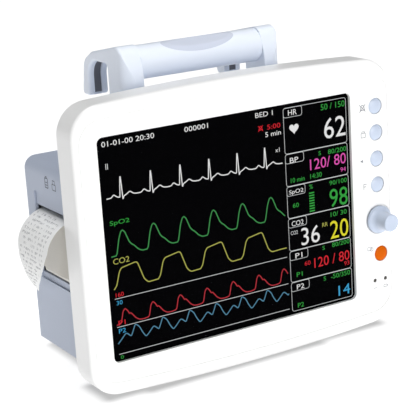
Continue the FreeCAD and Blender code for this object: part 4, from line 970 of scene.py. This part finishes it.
def make_strip():
    """Thin paper whose long edges curl in a little and whose end is torn off at a slant."""
    draw = random.Random(7)
    path = strip_path()
    box_low, box_high = node_box("paper_strip")
    front, back = box_low.y, box_high.y
    mid, half = (front + back) / 2, (back - front) / 2
    lengths = [0]
    for (a, _), (b, _) in zip(path, path[1:]):
        lengths.append(lengths[-1] + (b - a).length)
    slot = next(length for (spot, _), length in zip(path, lengths) if spot.x < CURL_START)

    def at(length):
        for index in range(len(path) - 1):
            if lengths[index + 1] >= length or index == len(path) - 2:
                share = (length - lengths[index]) / (lengths[index + 1] - lengths[index])
                spot = path[index][0].lerp(path[index + 1][0], share)
                angle = path[index][1] + (path[index + 1][1] - path[index][1]) * share
                return spot, angle

    def place(length, y, lift):
        """A point of the sheet, lift millimetres outside its inner face."""
        spot, angle = at(length)
        out = max(0, length - slot - 6) / 40
        edge = ((y - mid) / half) ** 2
        ripple = EDGE_RIPPLE * math.sin(length * 0.35 + y * 0.12)
        curl = min(1, out) * (ripple - EDGE_CURL * edge)
        normal = Vector((math.cos(angle), math.sin(angle)))
        spot = spot + normal * (lift + min(0, curl))
        return (spot.x, y, spot.y)

    def end_of(y, ragged):
        wanted = torn_level(y, ragged)
        length = lengths[-1]
        while length > slot + 20 and at(length)[0].y < wanted:
            length -= 0.15
        return length

    sheet = Shape()
    ys = [front + (back - front) * column / STRIP_COLUMNS for column in range(STRIP_COLUMNS + 1)]
    ends = [end_of(y, draw.uniform(-RAGGED, RAGGED)) for y in ys]
    points = [place(end * row / STRIP_ROWS, y, lift) for lift in (0, STRIP_THICKNESS)
              for row in range(STRIP_ROWS + 1) for y, end in zip(ys, ends)]
    faces = []
    count = STRIP_COLUMNS + 1
    layer = count * (STRIP_ROWS + 1)
    for row in range(STRIP_ROWS):
        for column in range(STRIP_COLUMNS):
            a = row * count + column
            faces.append((a, a + 1, a + count + 1, a + count))
            faces.append((layer + a, layer + a + count, layer + a + count + 1, layer + a + 1))
    rim = list(range(count))
    rim += [row * count + STRIP_COLUMNS for row in range(1, STRIP_ROWS + 1)]
    rim += [STRIP_ROWS * count + column for column in range(STRIP_COLUMNS - 1, -1, -1)]
    rim += [row * count for row in range(STRIP_ROWS - 1, 0, -1)]
    faces += [(a, b, layer + b, layer + a) for a, b in zip(rim, rim[1:] + rim[:1])]
    sheet.add(points, faces)
    paper = add_piece("printed_strip", sheet, CASE, "paper_white", replaces=["paper_strip"], smooth=50)

    print_ink = printing_ink("print_ink", PRINT_GREY, 0.6, 0.2, 900, 0.3)
    ink = Shape()
    lift = STRIP_THICKNESS + PRINT_LIFT
    row_length = slot + BLANK_START
    while row_length < lengths[-1] - BLANK_END:
        y = front + BLANK_FRONT
        while y < back - BLANK_BACK:
            if draw.random() < 0.2:
                y += GLYPH_PITCH * draw.randint(1, 4)
                continue
            if row_length + GLYPH_HEIGHT + 2 < end_of(y, 0):
                low = row_length + draw.choice((0, 0, 0.5))
                high = row_length + GLYPH_HEIGHT * draw.choice((0.6, 1, 1))
                width = draw.choice((0.22, 0.3, 0.45))
                corners = ((low, y), (low, y + width), (high, y + width), (high, y))
                ink.add([place(*corner, lift) for corner in corners], [(0, 1, 2, 3)])
            y += GLYPH_PITCH
        row_length += ROW_PITCH
    marks = add_piece("strip_print", ink, CASE, "paper_white", print_ink, smooth=0, thick=INK_DEPTH)
    for piece in (paper, marks):
        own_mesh(piece)


# ---------------- fittings at the back and the side

HEAD_TURNS = 32
THREAD_PITCH, THREAD_DEPTH = 0.7, 0.18


def cross_head(shape, centre, axis, direction, radius, height):
    """Pan head with a cross recess: a domed rim and a flat top pierced by a cross."""
    across, beside, ahead = AXES[axis]
    ahead = ahead * direction
    centre = Vector(centre)
    flat = radius * 0.62
    lathe(shape, [(radius, 0), (radius, height * 0.55 * direction, 0.3),
                  (radius * 0.72, height * direction, 0.5), (flat, height * direction)],
          centre, axis, HEAD_TURNS, 4)

    def spot(u, v, level):
        return centre + across * u + beside * v + ahead * level

    arm, width = radius * 0.5, radius * 0.13
    cross = [(width, width), (width, arm), (-width, arm), (-width, width), (-arm, width), (-arm, -width),
             (-width, -width), (-width, -arm), (width, -arm), (width, -width), (arm, -width), (arm, width)]
    top = bmesh.new()
    for ring in (circle(0, 0, flat, HEAD_TURNS), cross):
        verts = [top.verts.new(spot(u, v, height)) for u, v in ring]
        for one, other in zip(verts, verts[1:] + verts[:1]):
            top.edges.new((one, other))
    bmesh.ops.triangle_fill(top, edges=top.edges[:], use_beauty=True)
    top.verts.index_update()
    shape.add([vertex.co for vertex in top.verts],
              [[vertex.index for vertex in face.verts] for face in top.faces])
    top.free()
    prism(shape, cross, spot, (height, height * 0.4), caps=(1,))


def make_screws():
    """Case screws with cross-recessed pan heads and threaded shanks."""
    screws = Shape()
    for low, high in island_boxes("case_screws"):
        size = high - low
        axis, head, direction = ("y", 2, 1) if size.y > size.z else ("z", 1.5, -1)
        index = "xyz".index(axis)
        radius, shank = min(size) / 2, min(size) / 4
        centre = (low + high) / 2
        centre[index] = high[index] - head if axis == "y" else low[index] + head
        cross_head(screws, centre, axis, direction, radius, head)
        length = size[index] - head
        profile = [(radius, 0), (shank, 0)]
        for turn in range(int(length / THREAD_PITCH) - 1):
            reach = (turn + 0.5) * THREAD_PITCH
            profile += [(shank, reach), (shank - THREAD_DEPTH, reach + THREAD_PITCH / 2)]
        profile += [(shank - 0.3, length - 0.4), (0, length)]
        lathe(screws, [(u, -direction * reach) for u, reach in profile], centre, axis, 24)
    add_piece("cross_screws", screws, CASE, "screw_steel", replaces=["case_screws"], smooth=35)


def make_feet():
    """Moulded feet with a rounded rim and a shallow ring in the sole."""
    feet = Shape()
    for low, high in island_boxes("rubber_feet"):
        centre = (low + high) / 2
        radius, height = (high.x - low.x) / 2, high.z - low.z
        points = [(0, 0.5), (radius * 0.45, 0.5), (radius * 0.5, 0, 0.1), (radius * 0.78, 0, 0.1),
                  (radius - 0.8, 0, 0.7), (radius, height * 0.8, 0.4), (radius, height), (0, height)]
        lathe(feet, points, (centre.x, centre.y, low.z), "z", 56)
    add_piece("rubber_feet_soft", feet, CASE, "rubber_dark", replaces=["rubber_feet"])


# shell radius, bore radius, bore depth and slot of each kind of socket
SOCKETS = {"ecg_socket": (9.5, 7, 9, "socket_green"), "spo2_socket": (8, 5.5, 9, "socket_blue"),
           "pressure_sockets": (8, 5.5, 9, "socket_red"), "cuff_port": (8, 4, 10, "port_grey"),
           "gas_port": (7.5, 4.5, 8, "port_yellow")}
KEY_WIDE, KEY_DEEP = 0.9, 0.7
CONTACT_RING, CONTACT_COUNT = 3, 6


def make_sockets():
    """Round sockets: bevelled collar, keyway, insulator face, and gold contacts or a hose spigot."""
    contacts = Shape()
    for node, (shell, bore, depth, slot) in SOCKETS.items():
        collar = Shape()
        for low, high in island_boxes(node):
            centre = (low + high) / 2
            face, floor = high.x, high.x - depth
            lathe(collar, [(0, floor), (bore, floor), (bore, face - 0.9), (bore + 0.7, face, 0.25),
                           (shell - 1.0, face, 0.5), (shell, face - 1.2, 0.4), (shell, face - 3),
                           (shell - 1.5, face - 3), (shell - 1.5, floor - 3), (0, floor - 3)],
                  (0, centre.y, centre.z), "x", 56)
            block(collar, (floor, centre.y - KEY_WIDE, centre.z + bore - KEY_DEEP),
                  (face - 1.4, centre.y + KEY_WIDE, centre.z + bore + 0.3))
            if node in ("cuff_port", "gas_port"):
                lathe(contacts, [(2.1, floor), (2.1, face - 3.2, 0.3), (1.5, face - 2.6, 0.2),
                                 (0.9, face - 2.6), (0.9, floor)], (0, centre.y, centre.z), "x", 32)
                continue
            for y, z in circle(centre.y, centre.z, CONTACT_RING, CONTACT_COUNT):
                lathe(contacts, [(0.55, floor - 1), (0.55, floor + 4.6, 0.3), (0, floor + 5.2)],
                      (0, y, z), "x", 16)
        add_piece(f"{node}_collar", collar, CASE, slot, replaces=[node])
    gold = brushed("contact_gold", (0.86, 0.62, 0.24), 0.22, (1, 1, 1))
    add_piece("socket_contacts", contacts, CASE, "brass_insert", gold)


NUT_SEAT, NUT_DEPTH = 45, 2
PLATE_U, PLATE_V = (8, 66), (78, 112)
PLATE_DEPTH = 0.15
PLATE_RULES = (102, 95, 88)


def upright(u, v, level):
    """A flat (u, v) point on the plane Y = level."""
    return u, level, v


def make_terminal():
    """Earth stud: hexagonal nut behind a grooved pin."""
    low, high = node_box("earth_terminal")
    centre = (low + high) / 2
    stud = Shape()
    seat, top = NUT_SEAT, NUT_SEAT + NUT_DEPTH
    prism(stud, circle(centre.x, centre.z, (high.x - low.x) / 2, 6), upright, (seat, top))
    lathe(stud, [(0, low.y), (3.9, low.y), (3.9, seat - 0.2), (3, seat - 0.2), (3, top + 0.1),
                 (3, high.y - 3.2, 0.1), (2.6, high.y - 2.8, 0.1), (2.6, high.y - 2.2, 0.1),
                 (3, high.y - 1.8, 0.1), (3, high.y - 0.7, 0.4), (2.2, high.y, 0.2), (0, high.y)],
          (centre.x, 0, centre.z), "y", 48)
    add_piece("earth_stud", stud, CASE, "brass_insert", replaces=["earth_terminal"])


def make_rear_marks():
    """Rating plate without any wording: a frame line and three rules."""
    back = node_box("rear_housing")[1].y
    (left, right), (bottom, top) = PLATE_U, PLATE_V
    plate = prism(Shape(), rounded_box(PLATE_U, PLATE_V, 1.6), upright, (back, back + PLATE_DEPTH), (1,))
    silver = brushed("plate_silver", (0.72, 0.73, 0.75), 0.35, (14, 1, 1))
    add_piece("rating_plate", plate, CASE, "module_shield", silver)
    lines = Shape()
    plane = on_front(back + PLATE_DEPTH + INK_DEPTH)
    ribbon(lines, rounded_box((left + 1.5, right - 1.5), (bottom + 1.5, top - 1.5), 1), 0.3, plane, True)
    for level in PLATE_RULES:
        ribbon(lines, [(left + 5, level), (right - 5, level)], 0.25, plane)
    ink = printing_ink("plate_ink", (0.08, 0.08, 0.09), 0.5, 0.5, 700, 0.2)
    add_piece("rating_plate_rules", lines, CASE, "module_shield", ink, smooth=0, thick=INK_DEPTH)


# ---------------- build

make_camera()
make_studio()
dress_frame()
frame["nodes"]["paper_roll"].data.materials[0] = wound_material(middle("paper_roll"))
make_picture()
make_keys()
make_knob()
make_lamps()
make_legends()
make_strip()
make_screws()
make_feet()
make_sockets()
make_terminal()
make_rear_marks()
